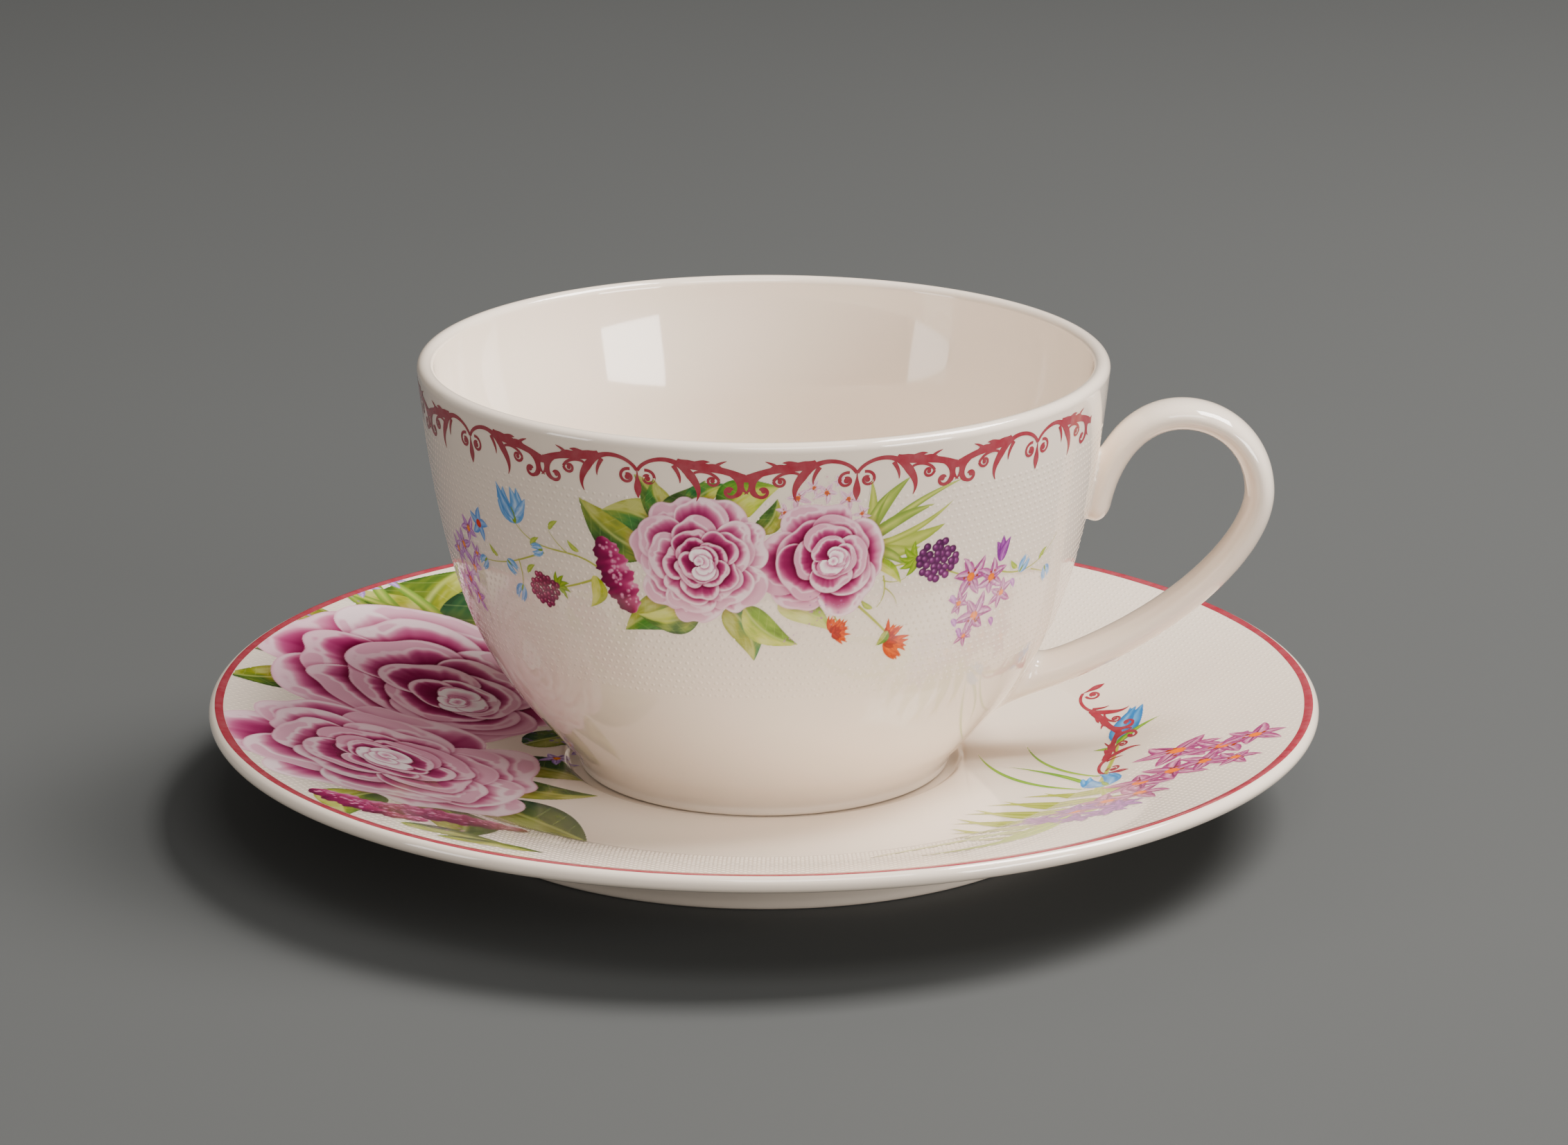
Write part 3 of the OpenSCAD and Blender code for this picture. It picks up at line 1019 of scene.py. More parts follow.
def spray_roses(sheet):
    """The two roses in the middle, the left one over the right."""
    rose(sheet, 7.9, 42.2, 8.6, (1.0, 0.80, 0.58, 0.36), (5, 4, 4, 3), 5,
         (0.12, 0.02), 1.0, 0.4, 0.2, 0.62, 1.5)
    rose(sheet, -8.2, 42.1, 9.6, (1.0, 0.86, 0.70, 0.54, 0.40, 0.29), (7, 6, 5, 5, 4, 3), 8,
         (0.02, -0.06), 1.0, 0.0, 0.12, 0.40, 1.4, depth=0.9)


def spray_fruit_and_bells(sheet):
    """Berries, blue flowers and buds."""
    berry(sheet, -31.8, 34.8, 5.2, 101, 0.35, "7a2348", "b04468", "eac0c6")
    berry(sheet, 23.8, 40.4, 6.4, 102, np.pi - 0.2, "5c2858", "8c4a80", "cfa8ca")
    bell(sheet, (-35.6, 43.4), (-36.6, 48.6), 4.4, 111)
    blade(sheet, (-35.8, 44.0), (-38.6, 48.8), 1.5, shade("a9c4e2"), shade("4f7fb8"), 0.05, 112)
    blade(sheet, (-35.4, 44.4), (-33.2, 47.4), 1.4, shade("bcd0e8"), shade("6b95c8"), -0.05, 113)
    for k, (base, tip) in enumerate((((-31.0, 40.6), (-33.2, 40.2)), ((-38.6, 37.6), (-36.6, 36.0)),
                                     ((-43.6, 36.6), (-45.6, 35.0)), ((-36.0, 34.6), (-37.4, 32.0)),
                                     ((39.2, 35.6), (40.8, 37.8)), ((45.6, 35.0), (47.0, 32.8)))):
        bell(sheet, base, tip, 1.7, 120 + k)
    for k in range(5):
        way = 1.3 + 2 * np.pi * k / 5
        blade(sheet, (-44.2, 41.4), (-44.2 + 2.3 * np.cos(way), 41.4 + 2.6 * np.sin(way)), 1.3,
              shade("a3bfe0"), shade("5c83c0"), 0.08, 130 + k)
    spot(sheet, -44.2, 41.4, 0.6, shade("d8452c"), shade("b03424"))


def spray_stars(sheet):
    """Star flowers and buds at the far right."""
    stars = ((29.6, 37.0, 7.0), (33.4, 36.2, 6.4), (31.4, 31.0, 7.0),
             (36.0, 33.4, 5.0), (28.2, 33.4, 4.2), (30.2, 28.2, 3.6))
    for k, (x, y, size) in enumerate(stars):
        star_flower(sheet, x, y, size, 140 + k, 6)
    for k, (x, y) in enumerate(((27.4, 31.2), (28.6, 29.6), (34.6, 30.0), (26.6, 34.8), (37.6, 35.0))):
        blade(sheet, (x, y), (x + 0.9, y - 1.5), 0.9, shade("d9a9d4"), shade("9a5aa2"), 0.1, 150 + k)
    speckle(sheet, 31.0, 33.0, 3.2, 34, 155)
    for k, side in enumerate((-0.9, -0.2, 0.7)):
        blade(sheet, (34.8, 38.2), (35.0 + side * 1.6, 42.2 - abs(side)), 1.5,
              shade("b06fb0"), shade("6f2f78"), 0.1 * side, 160 + k)


def spray_marigolds(sheet):
    """Marigolds under the right rose, and loose blossom dust."""
    marigold(sheet, 9.4, 31.4, 4.8, 171, 0.5)
    marigold(sheet, 17.0, 29.4, 6.6, 172, 0.2)
    leaf(sheet, (17.4, 31.0), (15.8, 29.0), 1.4, 173, 0.1, dark="5a7d3a")
    speckle(sheet, 8.4, 34.6, 2.0, 26, 174, "a86aa0", 0.14)
    speckle(sheet, 4.6, 31.6, 1.6, 18, 175, "b07aa8", 0.12)


def paint_cup_spray(sheet):
    """Across: millimetres round the cup from its front. Up: millimetres above its foot."""
    spray_leaves(sheet)
    spray_grass(sheet)
    spray_blossoms(sheet)
    spray_carnation(sheet)
    spray_stems(sheet)
    spray_lilac(sheet)
    spray_roses(sheet)
    spray_fruit_and_bells(sheet)
    spray_stars(sheet)
    spray_marigolds(sheet)


def paint_saucer_roses(sheet):
    """Across and up are the saucer's own X and Y, in millimetres."""
    for k, (base, tip, width) in enumerate((
            ((-50, 34), (-46, 58), 15), ((-52, 36), (-62, 46), 12), ((-44, 34), (-34, 62), 13),
            ((-40, 30), (-27, 52), 12), ((-36, 24), (-22, 38), 10), ((-62, 26), (-74, 18), 9),
            ((-66, 12), (-76.5, 6), 8), ((-62, 34), (-70, 30), 8), ((-34, 2), (-24, 8), 7),
            ((-38, -6), (-24.4, -13.6), 9), ((-38, -14), (-22.6, -19.8), 8), ((-40, -24), (-23.4, -43), 13),
            ((-44, -34), (-40, -61), 10), ((-52, -36), (-54, -54), 9),
            ((-47, -53), (-33, -60), 5), ((-42, -59), (-26, -67), 4))):
        leaf(sheet, base, tip, width, 200 + k, (0.10, -0.12, 0.05)[k % 3],
             ("878c44", "95984e", "80884a")[k % 3], ("3d562e", "465f32", "354f36")[k % 3])
    for k in range(9):
        way = 2.2 + 0.17 * k
        blade(sheet, (-44 + k, 30), (-44 + k + 30 * np.cos(way), 30 + 38 * np.sin(way)), 2.4,
              shade("b8bf70"), shade("6f8a48"), (0.1, -0.1)[k % 2], 220 + k)
    # carnation strip along the front rim
    for k, (a, b, width) in enumerate((((-60, -41), (-44, -50), 7), ((-52, -43.5), (-31, -43), 9),
                                       ((-33, -65.5), (-22, -70.0), 3.4))):
        ruffle(sheet, a, b, width, 230 + k, "8c2a55", "f2d7df")
    speckle(sheet, -46, -48, 6.0, 60, 235, "c77fa6", 0.3)
    # lilac and berries behind and beside the roses
    lilacs = ((-66, 42, 7), (-61, 47, 7), (-69, 36, 6), (-57, 51, 6), (-72, 30, 5.5),
              (-29, 14, 7), (-27, 8, 6.5), (-31, 20, 6.5), (-26, 2, 6), (-29, -4, 6))
    for k, (x, y, size) in enumerate(lilacs):
        star_flower(sheet, x, y, size, 240 + k, 5, "8f6fae", "d9cbe6", "e9a23e")
    speckle(sheet, -28, 8, 5.0, 70, 252, "7d5c98", 0.3)
    speckle(sheet, -65, 42, 4.5, 50, 253, "8c6aa6", 0.28)
    berry(sheet, -33.5, 56.0, 10.5, 254, -1.9, "3c1434", "6c2a58", "b07fa4")
    berry(sheet, -42.5, 62.0, 9.5, 255, -1.4, "3c1434", "6c2a58", "b07fa4")
    stem(sheet, [(-36, 34), (-33, 46), (-35, 54)], 1.1, 0.7)
    rose(sheet, -49.5, 20.5, 23.0, (1.0, 0.82, 0.60, 0.42, 0.27), (5, 5, 4, 3, 3), 61, (0.22, -0.12),
         1.08, 1.5, 0.18, 0.6, 1.5, depth=1.25)
    rose(sheet, -52.0, -15.5, 23.5, (1.0, 0.84, 0.68, 0.52, 0.38, 0.26), (6, 6, 5, 4, 4, 3), 67,
         (0.02, 0.10), 1.0, -0.3, 0.14, 0.45, 1.42)


def paint_saucer_stars(sheet):
    """The lighter group at the saucer's right front."""
    for k in range(13):
        way = -2.05 + 0.15 * k
        root = (33 + 1.6 * k, -52 + 1.9 * k)
        blade(sheet, root, (root[0] + 17 * np.cos(way + 4.0), root[1] + 10 * np.sin(way + 2.5)), 2.2,
              shade("b6b870"), shade("8e9650"), (0.1, -0.12)[k % 2], 300 + k)
    for k, (base, tip) in enumerate((((44, -22), (30, -2)), ((46, -24), (34, -8)), ((48, -18), (37, 1)),
                                     ((36, -44), (14, -60)), ((40, -42), (20, -62)), ((46, -38), (30, -58)))):
        blade(sheet, base, tip, (0.9, 1.1, 0.7, 2.0, 2.4, 2.2)[k], shade("9cb257"),
              shade(("5f8a43", "b0bd6a")[k // 3]), (0.12, -0.1)[k % 2], 320 + k)
    stem(sheet, [(45, -26), (47, -16), (49, -9), (49.7, -2.6)], 0.9, 0.6)
    stem(sheet, [(46, -30), (46, -24), (46.4, -20)], 0.8, 0.5)
    for k, shift in enumerate((-0.9, 0.9, 0.0)):
        blade(sheet, (49.6, -3.2), (53.0 + shift, 9.4), 3.0, shade("78a8d0"), shade("3c70a6"), 0.06 * (k - 1),
              330 + k)
    bell(sheet, (46.8, -24.0), (45.6, -16.0), 4.2, 334, "8cb6da", "4278ae")
    for k, (x, y) in enumerate(((46.0, -4.4), (52.6, 0.6), (56.0, 3.0))):
        blade(sheet, (49.5, -4), (x, y), 1.2, shade("a8ba5c"), shade("5f8a43"), 0.1, 335 + k)
    for k, (x, y, size) in enumerate(((57, -15, 13), (63, -18, 12), (67.5, -16.5, 10), (51, -27.5, 12.5),
                                      (55.5, -25, 12), (46, -35, 11.5), (60, -24, 10), (50.5, -34, 10),
                                      (41.5, -38, 9), (64, -25.5, 8))):
        star_flower(sheet, x, y, size, 340 + k, 6, "8a3e66", "d8a8b8", "ea7a10", 0.95, 0.3 * k)
    for k, (x, y) in enumerate(((38, -41), (41.5, -43.5), (45, -42), (36, -38), (47.5, -39.5), (42, -36))):
        for j in range(5):
            way = 0.5 + 1.1 * j + k
            blade(sheet, (x, y), (x + 3.6 * np.cos(way), y + 3.6 * np.sin(way)), 1.9, shade("ae6aaa"),
                  shade("652a74"), 0.1, 360 + 5 * k + j)
    speckle(sheet, 47, -37, 6.0, 60, 395, "8f5a86", 0.28)
    speckle(sheet, 60, -20, 5.0, 40, 396, "9c6690", 0.25)


# ---- transfers on the glaze ----


def on_wall(u, v, film=FILM):
    """Places millimetres round the cup from its front, and up from its foot, on the wall's outside."""
    angle = u / SPRAY_R
    r = wall_radius(v) + film
    return np.stack([r * np.sin(angle), -r * np.cos(angle), v + CUP_Z], -1)


def on_wall_behind(u, v):
    return on_wall(u, v) * [-1, -1, 1]


def saucer_top():
    profile = saucer_profile()
    return profile[:np.argmax(profile[:, 1]) + 1]


def on_saucer(u, v, film=FILM):
    top = saucer_top()
    r = np.hypot(u, v)
    return np.stack([u, v, np.interp(r, top[:, 0], top[:, 1]) + film], -1)


SPRAY_R = 45.0
LINE_R = 75.5
LINE_WIDTH = 1.15


def transfer(name, sheet, place, material, body, keep=None):
    """Turns the painted cells of a sheet into a film on the glaze, and drops the bare ones."""
    rows, columns = sheet.cover.shape
    cover = sheet.cover > 0.03
    cells = cover[:-1, :-1] | cover[1:, :-1] | cover[:-1, 1:] | cover[1:, 1:]
    u, v = np.meshgrid(sheet.u, sheet.v)
    if keep is not None:
        cells = cells & keep(u[:-1, :-1], v[:-1, :-1])
    j, i = np.nonzero(cells)
    corner = j * columns + i
    faces = np.stack([corner, corner + 1, corner + columns + 1, corner + columns], -1)
    used = np.unique(faces)
    renumber = np.zeros(rows * columns, int)
    renumber[used] = np.arange(len(used))
    points = place(u.ravel()[used], v.ravel()[used])
    piece = add_piece(name, points, renumber[faces], [material], body)
    bare = to_screen(IVORY)
    solid = sheet.cover.reshape(-1, 1)[used]
    faded = mix(bare, sheet.rgb.reshape(-1, 3)[used], solid)
    paint = np.ones((len(used), 4))
    paint[:, :3] = to_linear(np.clip(faded, 0, 1))
    paint[:, :3] = mix(paint[:, :3], richer(paint[:, :3]), solid)
    layer = piece.data.color_attributes.new(name="paint", type="FLOAT_COLOR", domain="POINT")
    layer.data.foreach_set("color", paint.ravel())


def covered(sheet, u, v):
    """How much paint a sheet has at given points; none outside it."""
    i = np.round((u - sheet.low[0]) / sheet.step).astype(int)
    j = np.round((v - sheet.low[1]) / sheet.step).astype(int)
    rows, columns = sheet.cover.shape
    inside = (i >= 0) & (j >= 0) & (i < columns) & (j < rows)
    return np.where(inside, sheet.cover[np.clip(j, 0, rows - 1), np.clip(i, 0, columns - 1)], 0)


def make_cup_sprays(film):
    sheet = Sheet((-57, 24.5), (50, 54.5), 0.1)
    paint_cup_spray(sheet)
    parts = {"left": lambda u, v: u < -22.5, "roses": lambda u, v: (u >= -22.5) & (u < 20),
             "right": lambda u, v: u >= 20}
    for side, place in (("front", on_wall), ("back", on_wall_behind)):
        for part, keep in parts.items():
            transfer(f"cup_{side}_spray_{part}", sheet, place, film, "cup", keep)
    return sheet


def inside_line(u, v):
    return np.hypot(u, v) < LINE_R


def make_saucer_sprays(film):
    roses = Sheet((-77, -64), (-20, 72), 0.15)
    paint_saucer_roses(roses)
    split = 2.0
    transfer("saucer_back_roses", roses, on_saucer, film, "saucer",
             lambda u, v: inside_line(u, v) & (v >= split))
    transfer("saucer_front_roses", roses, on_saucer, film, "saucer",
             lambda u, v: inside_line(u, v) & (v < split))
    stars = Sheet((8, -66), (77, 12), 0.13)
    paint_saucer_stars(stars)
    transfer("saucer_star_flowers", stars, on_saucer, film, "saucer", inside_line)
    return roses, stars


def make_rim_line(red):
    """The hand-banded red line just inside the saucer's lip, a little uneven in width."""
    sides, across = 480, 7
    edge = saucer_profile()
    crest = np.argmax(edge[:, 1]) + 1
    edge = edge[:crest + 12]
    far = np.concatenate([[0], np.cumsum(np.linalg.norm(np.diff(edge, axis=0), axis=1))])
    way = unit(np.gradient(edge, far, axis=0))
    start = np.interp(LINE_R, edge[:crest, 0], far[:crest])
    end = start + LINE_WIDTH
    angle = np.arange(sides) * 2 * np.pi / sides
    drift = 0.05 * np.sin(7 * angle) + 0.03 * np.sin(23 * angle + 1)
    points = []
    for k in range(across):
        at = mix(start + drift, end - 0.5 * drift, k / (across - 1))
        r = np.interp(at, far, edge[:, 0]) - FILM * np.interp(at, far, way[:, 1])
        z = np.interp(at, far, edge[:, 1]) + FILM * np.interp(at, far, way[:, 0])
        points.append(np.stack([r * np.cos(angle), r * np.sin(angle), z], -1))
    j = np.arange(sides)
    n = (j + 1) % sides
    faces = [np.stack([k * sides + j, (k + 1) * sides + j, (k + 1) * sides + n, k * sides + n], -1)
             for k in range(across - 1)]
    add_piece("saucer_rim_line", np.vstack(points), np.vstack(faces), [red], "saucer")


# ---- scroll border ----

PITCH = 35.0
MOTIFS = 9
BORDER_FOOT = 52.6
STROKE = 1.0


def ribbon(points, widths, lift):
    """A flat stroke along points, as wide as given at each of them."""
    way = unit(np.gradient(points, axis=0))
    side = np.stack([-way[:, 1], way[:, 0]], -1) * np.asarray(widths)[:, None] / 2
    both = np.stack([points + side, points - side], 1).reshape(-1, 2)
    verts = np.column_stack([both, np.full(len(both), lift)])
    i = np.arange(len(points) - 1) * 2
    return verts, np.stack([i, i + 1, i + 3, i + 2], -1)


def vine(points, widths, steps=22):
    t = np.linspace(0, 1, steps)
    return bezier(points, t), np.interp(t, np.linspace(0, 1, len(widths)), widths)


def coil(centre, r0, r1, a0, a1, w0, w1, steps=26):
    """A spiral from radius r0 in to r1, that ends in a small ball."""
    t = np.linspace(0, 1, steps)
    a = np.radians(mix(a0, a1, t))
    r = mix(r0, r1, t ** 0.8)
    line = np.asarray(centre) + np.stack([r * np.cos(a), r * np.sin(a)], -1)
    return line, mix(w0, w1, t)


def ball(centre, r):
    t = np.linspace(-1, 1, 11)
    line = np.asarray(centre) + np.stack([t * r, 0 * t], -1)
    return line, 2 * r * np.sqrt(np.clip(1 - t * t, 0, 1)) + 0.01


def half_motif():
    """Strokes from the heart at 0 out to the joint at half a pitch; millimetres across and up."""
    return [
        coil((1.35, 0.55), 1.15, 0.35, 110, -300, 0.42, 0.34),
        ball((1.35, 0.5), 0.36),
        vine([(0.05, 1.5), (0.9, 3.3), (4.6, 4.3), (6.3, 1.9)], (0.45, 0.5, 0.62, 0.9)),
        vine([(6.0, 2.4), (7.2, 1.0), (8.4, -0.6), (7.5, -2.2)], (0.9, 1.15, 0.9, 0.5, 0.08)),
        vine([(5.2, 3.4), (6.4, 2.4), (9.8, 3.0), (13.7, 1.15)], (0.5, 1.25, 1.15, 0.9, 0.9)),
        vine([(7.2, 2.7), (7.9, 3.2), (8.6, 3.4), (9.3, 3.3)], (1.1, 0.7, 0.5, 0.06)),
        vine([(8.9, 2.5), (9.5, 2.9), (10.1, 2.9), (10.7, 2.7)], (0.9, 0.5, 0.06)),
        vine([(7.3, 1.7), (8.1, 2.2), (9.9, 1.9), (10.4, 0.75)], (0.35, 0.4, 0.4)),
        coil((9.55, 0.75), 0.85, 0.3, 0, -330, 0.4, 0.3),
        ball((9.6, 0.7), 0.3),
        vine([(10.6, 2.1), (12.4, 1.9), (13.4, 0.3), (12.7, -0.9)], (0.4, 0.6, 0.62, 0.5)),
        coil((11.75, -0.65), 0.98, 0.35, -10, -330, 0.5, 0.34),
        ball((11.6, -0.55), 0.34),
        vine([(13.3, 1.5), (12.9, 0.5), (13.1, -0.4), (14.0, -1.0)], (0.9, 0.75, 0.45, 0.1)),
        vine([(13.1, 0.2), (13.4, -0.7), (12.9, -1.3), (12.4, -1.5)], (0.3, 0.35, 0.08)),
        vine([(12.6, 1.6), (13.4, 1.1), (14.0, 1.0), (14.8, 1.0)], (0.8, 1.15, 0.8, 1.15)),
        vine([(4.7, 2.6), (5.4, 1.6), (5.6, 0.8), (5.5, 0.2)], (0.6, 0.42, 0.08)),
        vine([(9.8, 2.6), (10.6, 3.3), (11.0, 3.3), (11.4, 3.5)], (0.5, 0.3, 0.06)),
    ]


def teardrop():
    t = np.linspace(0, 1, 24)
    line = np.stack([0 * t, mix(1.6, -2.3, t)], -1)
    return line, 0.12 + 0.95 * np.sin(np.pi * t ** 1.6) ** 1.3 * (1 - 0.15 * t)


def scroll_motif(shift=0.0):
    """Two mirrored halves, each stroke a hair above the one before. They meet at the heart, or shift away
    from it in millimetres, where the hearts are then left at both ends."""
    verts, faces, count = [], [], 0
    strokes = half_motif() + [teardrop()]
    pairs = [(line, width, side) for side in (1, -1) for line, width in strokes]
    for k, (line, width, side) in enumerate(pairs):
        v, f = ribbon((line - [shift, 0]) * [side, 1], np.asarray(width) * STROKE, FILM + 0.0006 * k)
        verts.append(v)
        faces.append(f + count)
        count += len(v)
    return np.vstack(verts), np.vstack(faces)


def make_border(red):
    """The scroll border: one motif, set out along a line and bent round the wall under the lip."""
    verts, faces = scroll_motif()
    pitch_mm = np.radians(PITCH) * SPRAY_R
    t = Geometry("scroll_border", {"Count": ("Int", MOTIFS), "Pitch": ("Float", pitch_mm * MM),
                                   "Around": ("Float", SPRAY_R * MM), "Foot": ("Float", BORDER_FOOT * MM),
                                   "First angle": ("Float", 0.0), "Material": ("Material", None)})
    line = t.node("GeometryNodeMeshLine", {"mode": "OFFSET"}, {
        "Count": t.inputs["Count"],
        "Offset": t.node("ShaderNodeCombineXYZ", None, {"X": t.inputs["Pitch"]})["Vector"]})
    set_out = t.node("GeometryNodeInstanceOnPoints", None, {
        "Points": line["Mesh"], "Instance": t.inputs["Geometry"]})
    low, middle, high = [wall_radius(BORDER_FOOT + d) for d in (-2.5, 1.0, 4.5)]
    lean = (high - low) / 7.0
    sag = (high + low - 2 * middle) / 2 / 3.5 ** 2

    def bend(tree):
        at = tree.node("GeometryNodeInputPosition")["Position"]
        part = tree.node("ShaderNodeSeparateXYZ", None, {"Vector": at})
        angle = part["X"] / tree.inputs["Around"] + tree.inputs["First angle"]
        up = part["Y"] - 1.0 * MM
        r = up * lean + up * up * (sag / MM) + part["Z"] + middle * MM
        return tree.node("ShaderNodeCombineXYZ", None, {
            "X": angle.sine() * r, "Y": angle.cosine() * r * -1.0,
            "Z": part["Y"] + tree.inputs["Foot"] + CUP_Z * MM})["Vector"]

    group = t.finish(set_out["Instances"], bend)
    first = math.radians(50.0 - (MOTIFS - 1) * PITCH)
    grown("cup_scroll_border", loose_mesh("motif", verts, faces), group, {"First angle": first}, red, "cup")


# Where the halves of the saucer's scroll meet, in degrees round the saucer and out from its axis, and
# how much larger it is than the border
SCROLL_AT = 1.5
SCROLL_R = 51.0
SCROLL_LONG = 1.28
SCROLL_WIDE = 0.9


def make_saucer_scroll(red):
    """The same scroll on the saucer, along the crease beside the star flowers, its curls towards the lip."""
    verts, faces = scroll_motif(np.radians(PITCH) * SPRAY_R / 2)
    angle = np.radians(SCROLL_AT) + verts[:, 0] * SCROLL_LONG / CREASE_R
    r = SCROLL_R - verts[:, 1] * SCROLL_WIDE
    points = on_saucer(r * np.cos(angle), r * np.sin(angle), 0.0) + [0, 0, 1] * verts[:, 2:]
    add_piece("saucer_scroll", points, faces, [red], "saucer")


# ---- embossed dots ----

DOT_PITCH = 1.12
DOT_R = 0.34
DOT_H = 0.05


def lattice(low, high, pitch):
    """Points in rows, each shifted by half a pitch from the last."""
    rows = np.arange(low[1], high[1], pitch * math.sin(math.pi / 3))
    columns = np.arange(low[0], high[0], pitch)
    u, v = np.meshgrid(columns, rows)
    u = u + pitch / 2 * (np.arange(len(rows)) % 2)[:, None]
    return u.ravel(), v.ravel()


def dome():
    """One embossed dot, open below, a few faces only."""
    a = np.arange(6) * np.pi / 3
    low = np.stack([DOT_R * np.cos(a), DOT_R * np.sin(a), 0 * a - 0.012], -1)
    high = np.stack([0.6 * DOT_R * np.cos(a), 0.6 * DOT_R * np.sin(a), 0 * a + 0.7 * DOT_H], -1)
    points = np.vstack([low, high, [[0, 0, DOT_H]]])
    j = np.arange(6)
    k = (j + 1) % 6
    faces = np.stack([j, k, k + 6, j + 6], -1).tolist() + np.stack([j + 6, k + 6, 0 * j + 12], -1).tolist()
    return loose_mesh("dome", points, faces)


def dots_tree():
    t = Geometry("embossed_dots", {
        "Dome": ("Object", None), "Seed": ("Int", 3), "Material": ("Material", None)})
    way = t.node("GeometryNodeInputNamedAttribute", {"data_type": "FLOAT_VECTOR"},
                 {"Name": "way"})["Attribute"]
    turn = t.node("FunctionNodeAlignRotationToVector", {"axis": "Z"}, {"Vector": way})["Rotation"]
    size = t.node("FunctionNodeRandomValue", {"data_type": "FLOAT"},
                  {2: 0.88, 3: 1.06, "Seed": t.inputs["Seed"]})
    shape = t.node("GeometryNodeObjectInfo", None, {"Object": t.inputs["Dome"]})["Geometry"]
    made = t.node("GeometryNodeInstanceOnPoints", None, {
        "Points": t.inputs["Geometry"], "Instance": shape, "Rotation": turn, "Scale": size["Value"]})
    return t.finish(made["Instances"])


def make_dots(name, points, ways, tree, shape, glaze, body):
    source = loose_mesh(name, points)
    layer = source.attributes.new("way", "FLOAT_VECTOR", "POINT")
    layer.data.foreach_set("vector", ways.ravel())
    grown(name, source, tree, {"Dome": shape}, glaze, body)


def make_emboss(glaze, cup_sheet, saucer_sheets):
    tree = dots_tree()
    shape = bpy.data.objects.new("dome", dome())
    bpy.context.collection.objects.link(shape)

    around = 2 * np.pi * SPRAY_R
    pitch = around / round(around / DOT_PITCH)
    u, v = lattice((-around / 2, 22.0), (around / 2 - 0.01, 50.2), pitch)
    half = (u + around / 2) % around - around / 2
    behind = (u + around) % around - around / 2
    paint = np.maximum(covered(cup_sheet, half, v), covered(cup_sheet, behind, v))
    from_handle = np.abs((u / SPRAY_R - np.pi / 2 + np.pi) % (2 * np.pi) - np.pi) * SPRAY_R
    clear = (paint < 0.02) & ((from_handle > 7.2) | ((v < 31.5) & (v > 23.5)))
    u, v = u[clear], v[clear]
    points = on_wall(u, v, 0.0)
    lean = wall_slope(v)
    ways = unit(np.stack([np.sin(u / SPRAY_R), -np.cos(u / SPRAY_R), -lean], -1))
    make_dots("cup_embossed_dots", points, ways, tree, shape, glaze, "cup")

    x, y = lattice((-76, -76), (76, 76), DOT_PITCH)
    r = np.hypot(x, y)
    paint = np.maximum(covered(saucer_sheets[0], x, y), covered(saucer_sheets[1], x, y))
    scroll = (np.abs(np.degrees(np.arctan2(y, x)) - SCROLL_AT) < 26) & (r < 54.0)
    clear = (r > CREASE_R + 1.6) & (r < LINE_R - 0.5) & (paint < 0.02) & ~scroll
    x, y, r = x[clear], y[clear], r[clear]
    top = saucer_top()
    rise = (np.interp(r + 0.2, top[:, 0], top[:, 1]) - np.interp(r - 0.2, top[:, 0], top[:, 1])) / 0.4
    ways = unit(np.stack([-rise * x / r, -rise * y / r, 1 + 0 * r], -1))
    make_dots("saucer_embossed_dots", on_saucer(x, y, 0.0), ways, tree, shape, glaze, "saucer")
    bpy.data.objects.remove(shape)


# ---- stage, lights and camera ----


def make_stage():
    """A plain pale sweep: floor, curved corner and back wall."""
    half = 4.0
    sweep = [[-3.0, 0.0]] + [list(p) for p in arc([2.2, 1.2], 1.2, -90, 0, 16)] + [[3.4, 4.0]]
    verts = [(x, y, z) for y, z in sweep for x in (-half, half)]
    faces = [(2 * i, 2 * i + 1, 2 * i + 3, 2 * i + 2) for i in range(len(sweep) - 1)]
    mesh = bpy.data.meshes.new("sweep")
    mesh.from_pydata(verts, [], faces)
    mesh.shade_smooth()
    s = Shader("stage_paper")
    grain = place_noise(s, 3.0)
    tone = s.node("ShaderNodeMix", {"data_type": "RGBA"},
                  {0: grain, 6: (0.071, 0.074, 0.074, 1), 7: (0.079, 0.082, 0.081, 1)})
    mesh.materials.append(s.finish(s.node("ShaderNodeBsdfPrincipled", None, {
        "Base Color": tone["Result"], "Roughness": 0.75, "Specular IOR Level": 0.2})["BSDF"]))
    sweep_object = bpy.data.objects.new("sweep", mesh)
    bpy.context.collection.objects.link(sweep_object)


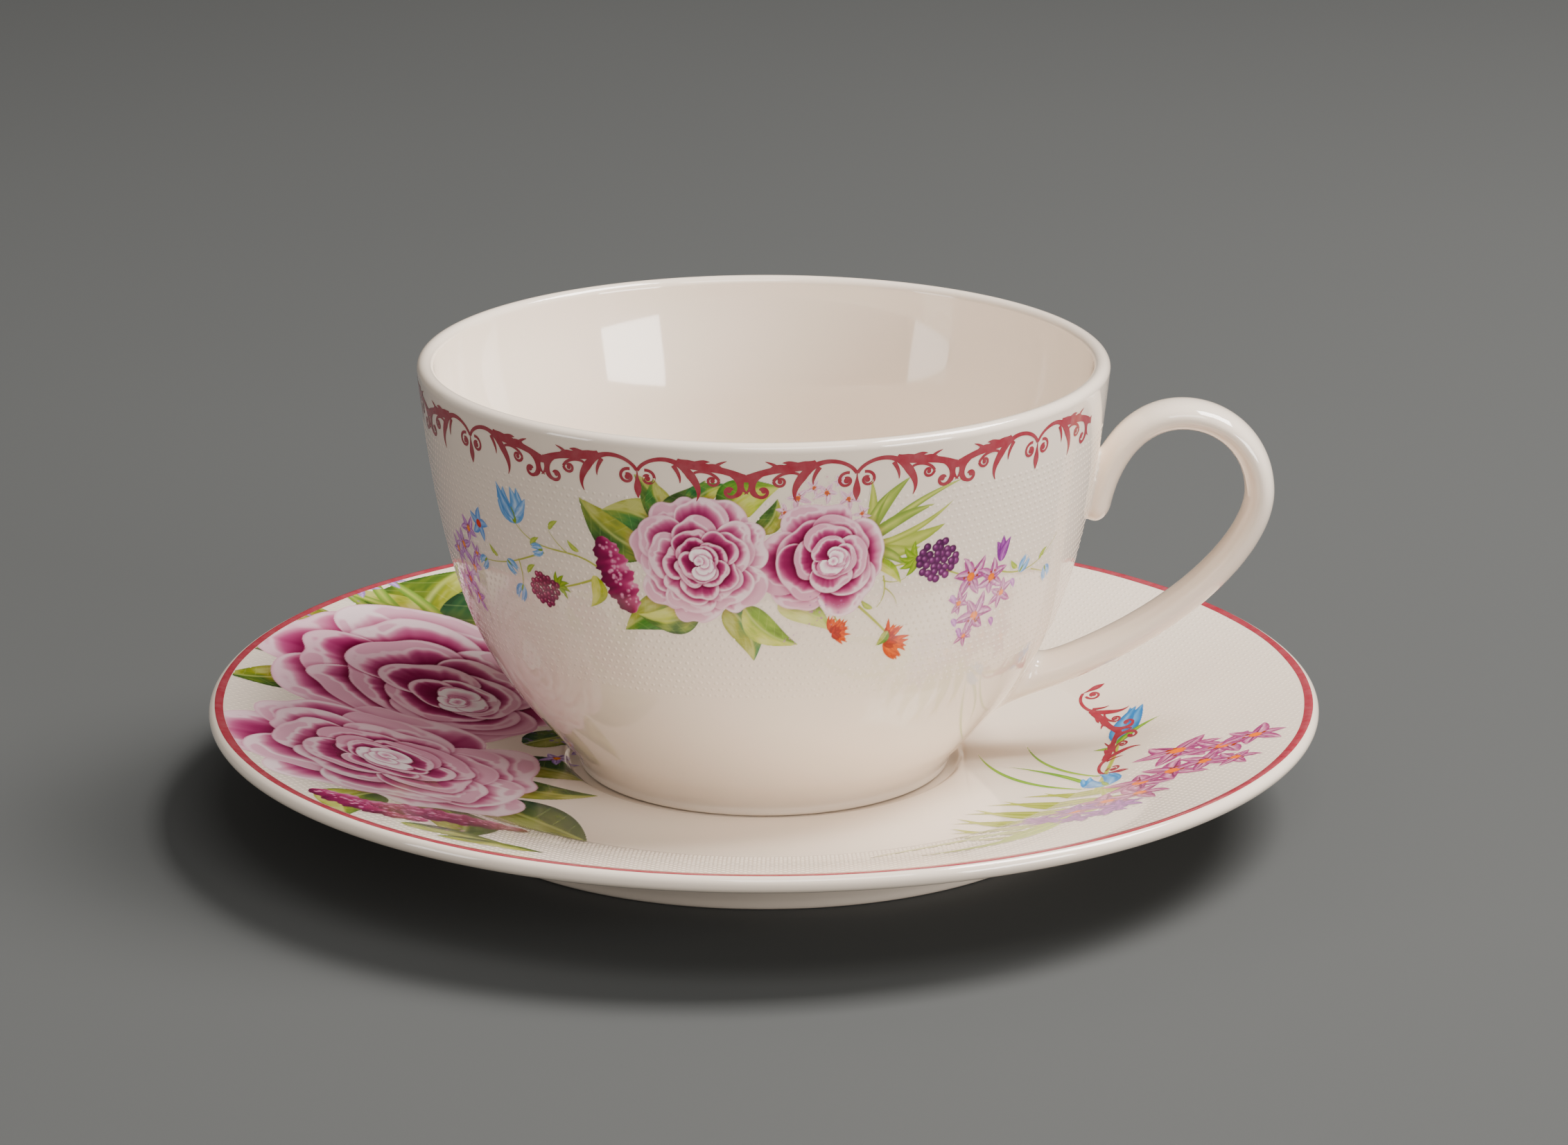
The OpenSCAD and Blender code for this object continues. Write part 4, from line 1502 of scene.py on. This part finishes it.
def aim(thing, target):
    way = np.array(target) - np.array(thing.location)
    flat = math.hypot(way[0], way[1])
    thing.rotation_euler = (math.pi / 2 + math.atan2(way[2], flat), 0, math.atan2(-way[0], way[1]))


def softbox(name, place, target, size, watts, colour=(1, 1, 1)):
    lamp = bpy.data.lights.new(name, "AREA")
    lamp.shape = "RECTANGLE"
    lamp.size, lamp.size_y = size
    lamp.energy = watts
    lamp.color = colour
    box = bpy.data.objects.new(name, lamp)
    box.location = place
    aim(box, target)
    bpy.context.collection.objects.link(box)


def make_lights():
    world = bpy.data.worlds.new("studio")
    world.use_nodes = True
    world.node_tree.nodes["Background"].inputs["Color"].default_value = (1.0, 0.95, 0.9, 1)
    world.node_tree.nodes["Background"].inputs["Strength"].default_value = 0.3
    bpy.context.scene.world = world
    softbox("key", (0.65, 0.12, 1.05), (0, 0, 0.03), (0.5, 0.6), 33.0, (1.0, 0.965, 0.93))
    softbox("front", (0.2, -0.75, 1.15), (0, 0, 0.04), (0.7, 0.5), 7.0, (1.0, 0.97, 0.94))
    softbox("right", (0.95, -0.78, 0.34), (0, 0, 0.05), (0.52, 0.36), 10.0, (1.0, 0.97, 0.94))
    softbox("left", (-1.1, -0.52, 0.3), (0, 0, 0.05), (0.34, 0.4), 2.4, (1.0, 0.98, 0.96))


def make_camera():
    lens = bpy.data.cameras.new("camera")
    lens.sensor_width = 36.0
    lens.lens = 114.5
    lens.clip_start = 0.01
    view = bpy.data.objects.new("camera", lens)
    rise = math.radians(16.82)
    reach = 0.695
    view.location = (0.0028, -reach * math.cos(rise), 0.0333 + reach * math.sin(rise))
    view.rotation_euler = (math.pi / 2 - rise, 0, 0)
    bpy.context.collection.objects.link(view)
    bpy.context.scene.camera = view


# ---- the set ----

make_camera()
glaze, clay, red, film = porcelain(), bare_clay(), red_enamel(), painted_transfer()
make_saucer(glaze, clay)
make_cup(glaze, clay)
make_handle(glaze)
cup_sheet = make_cup_sprays(film)
saucer_sheets = make_saucer_sprays(film)
make_rim_line(red)
make_border(red)
make_saucer_scroll(red)
make_emboss(glaze, cup_sheet, saucer_sheets)
make_stage()
make_lights()
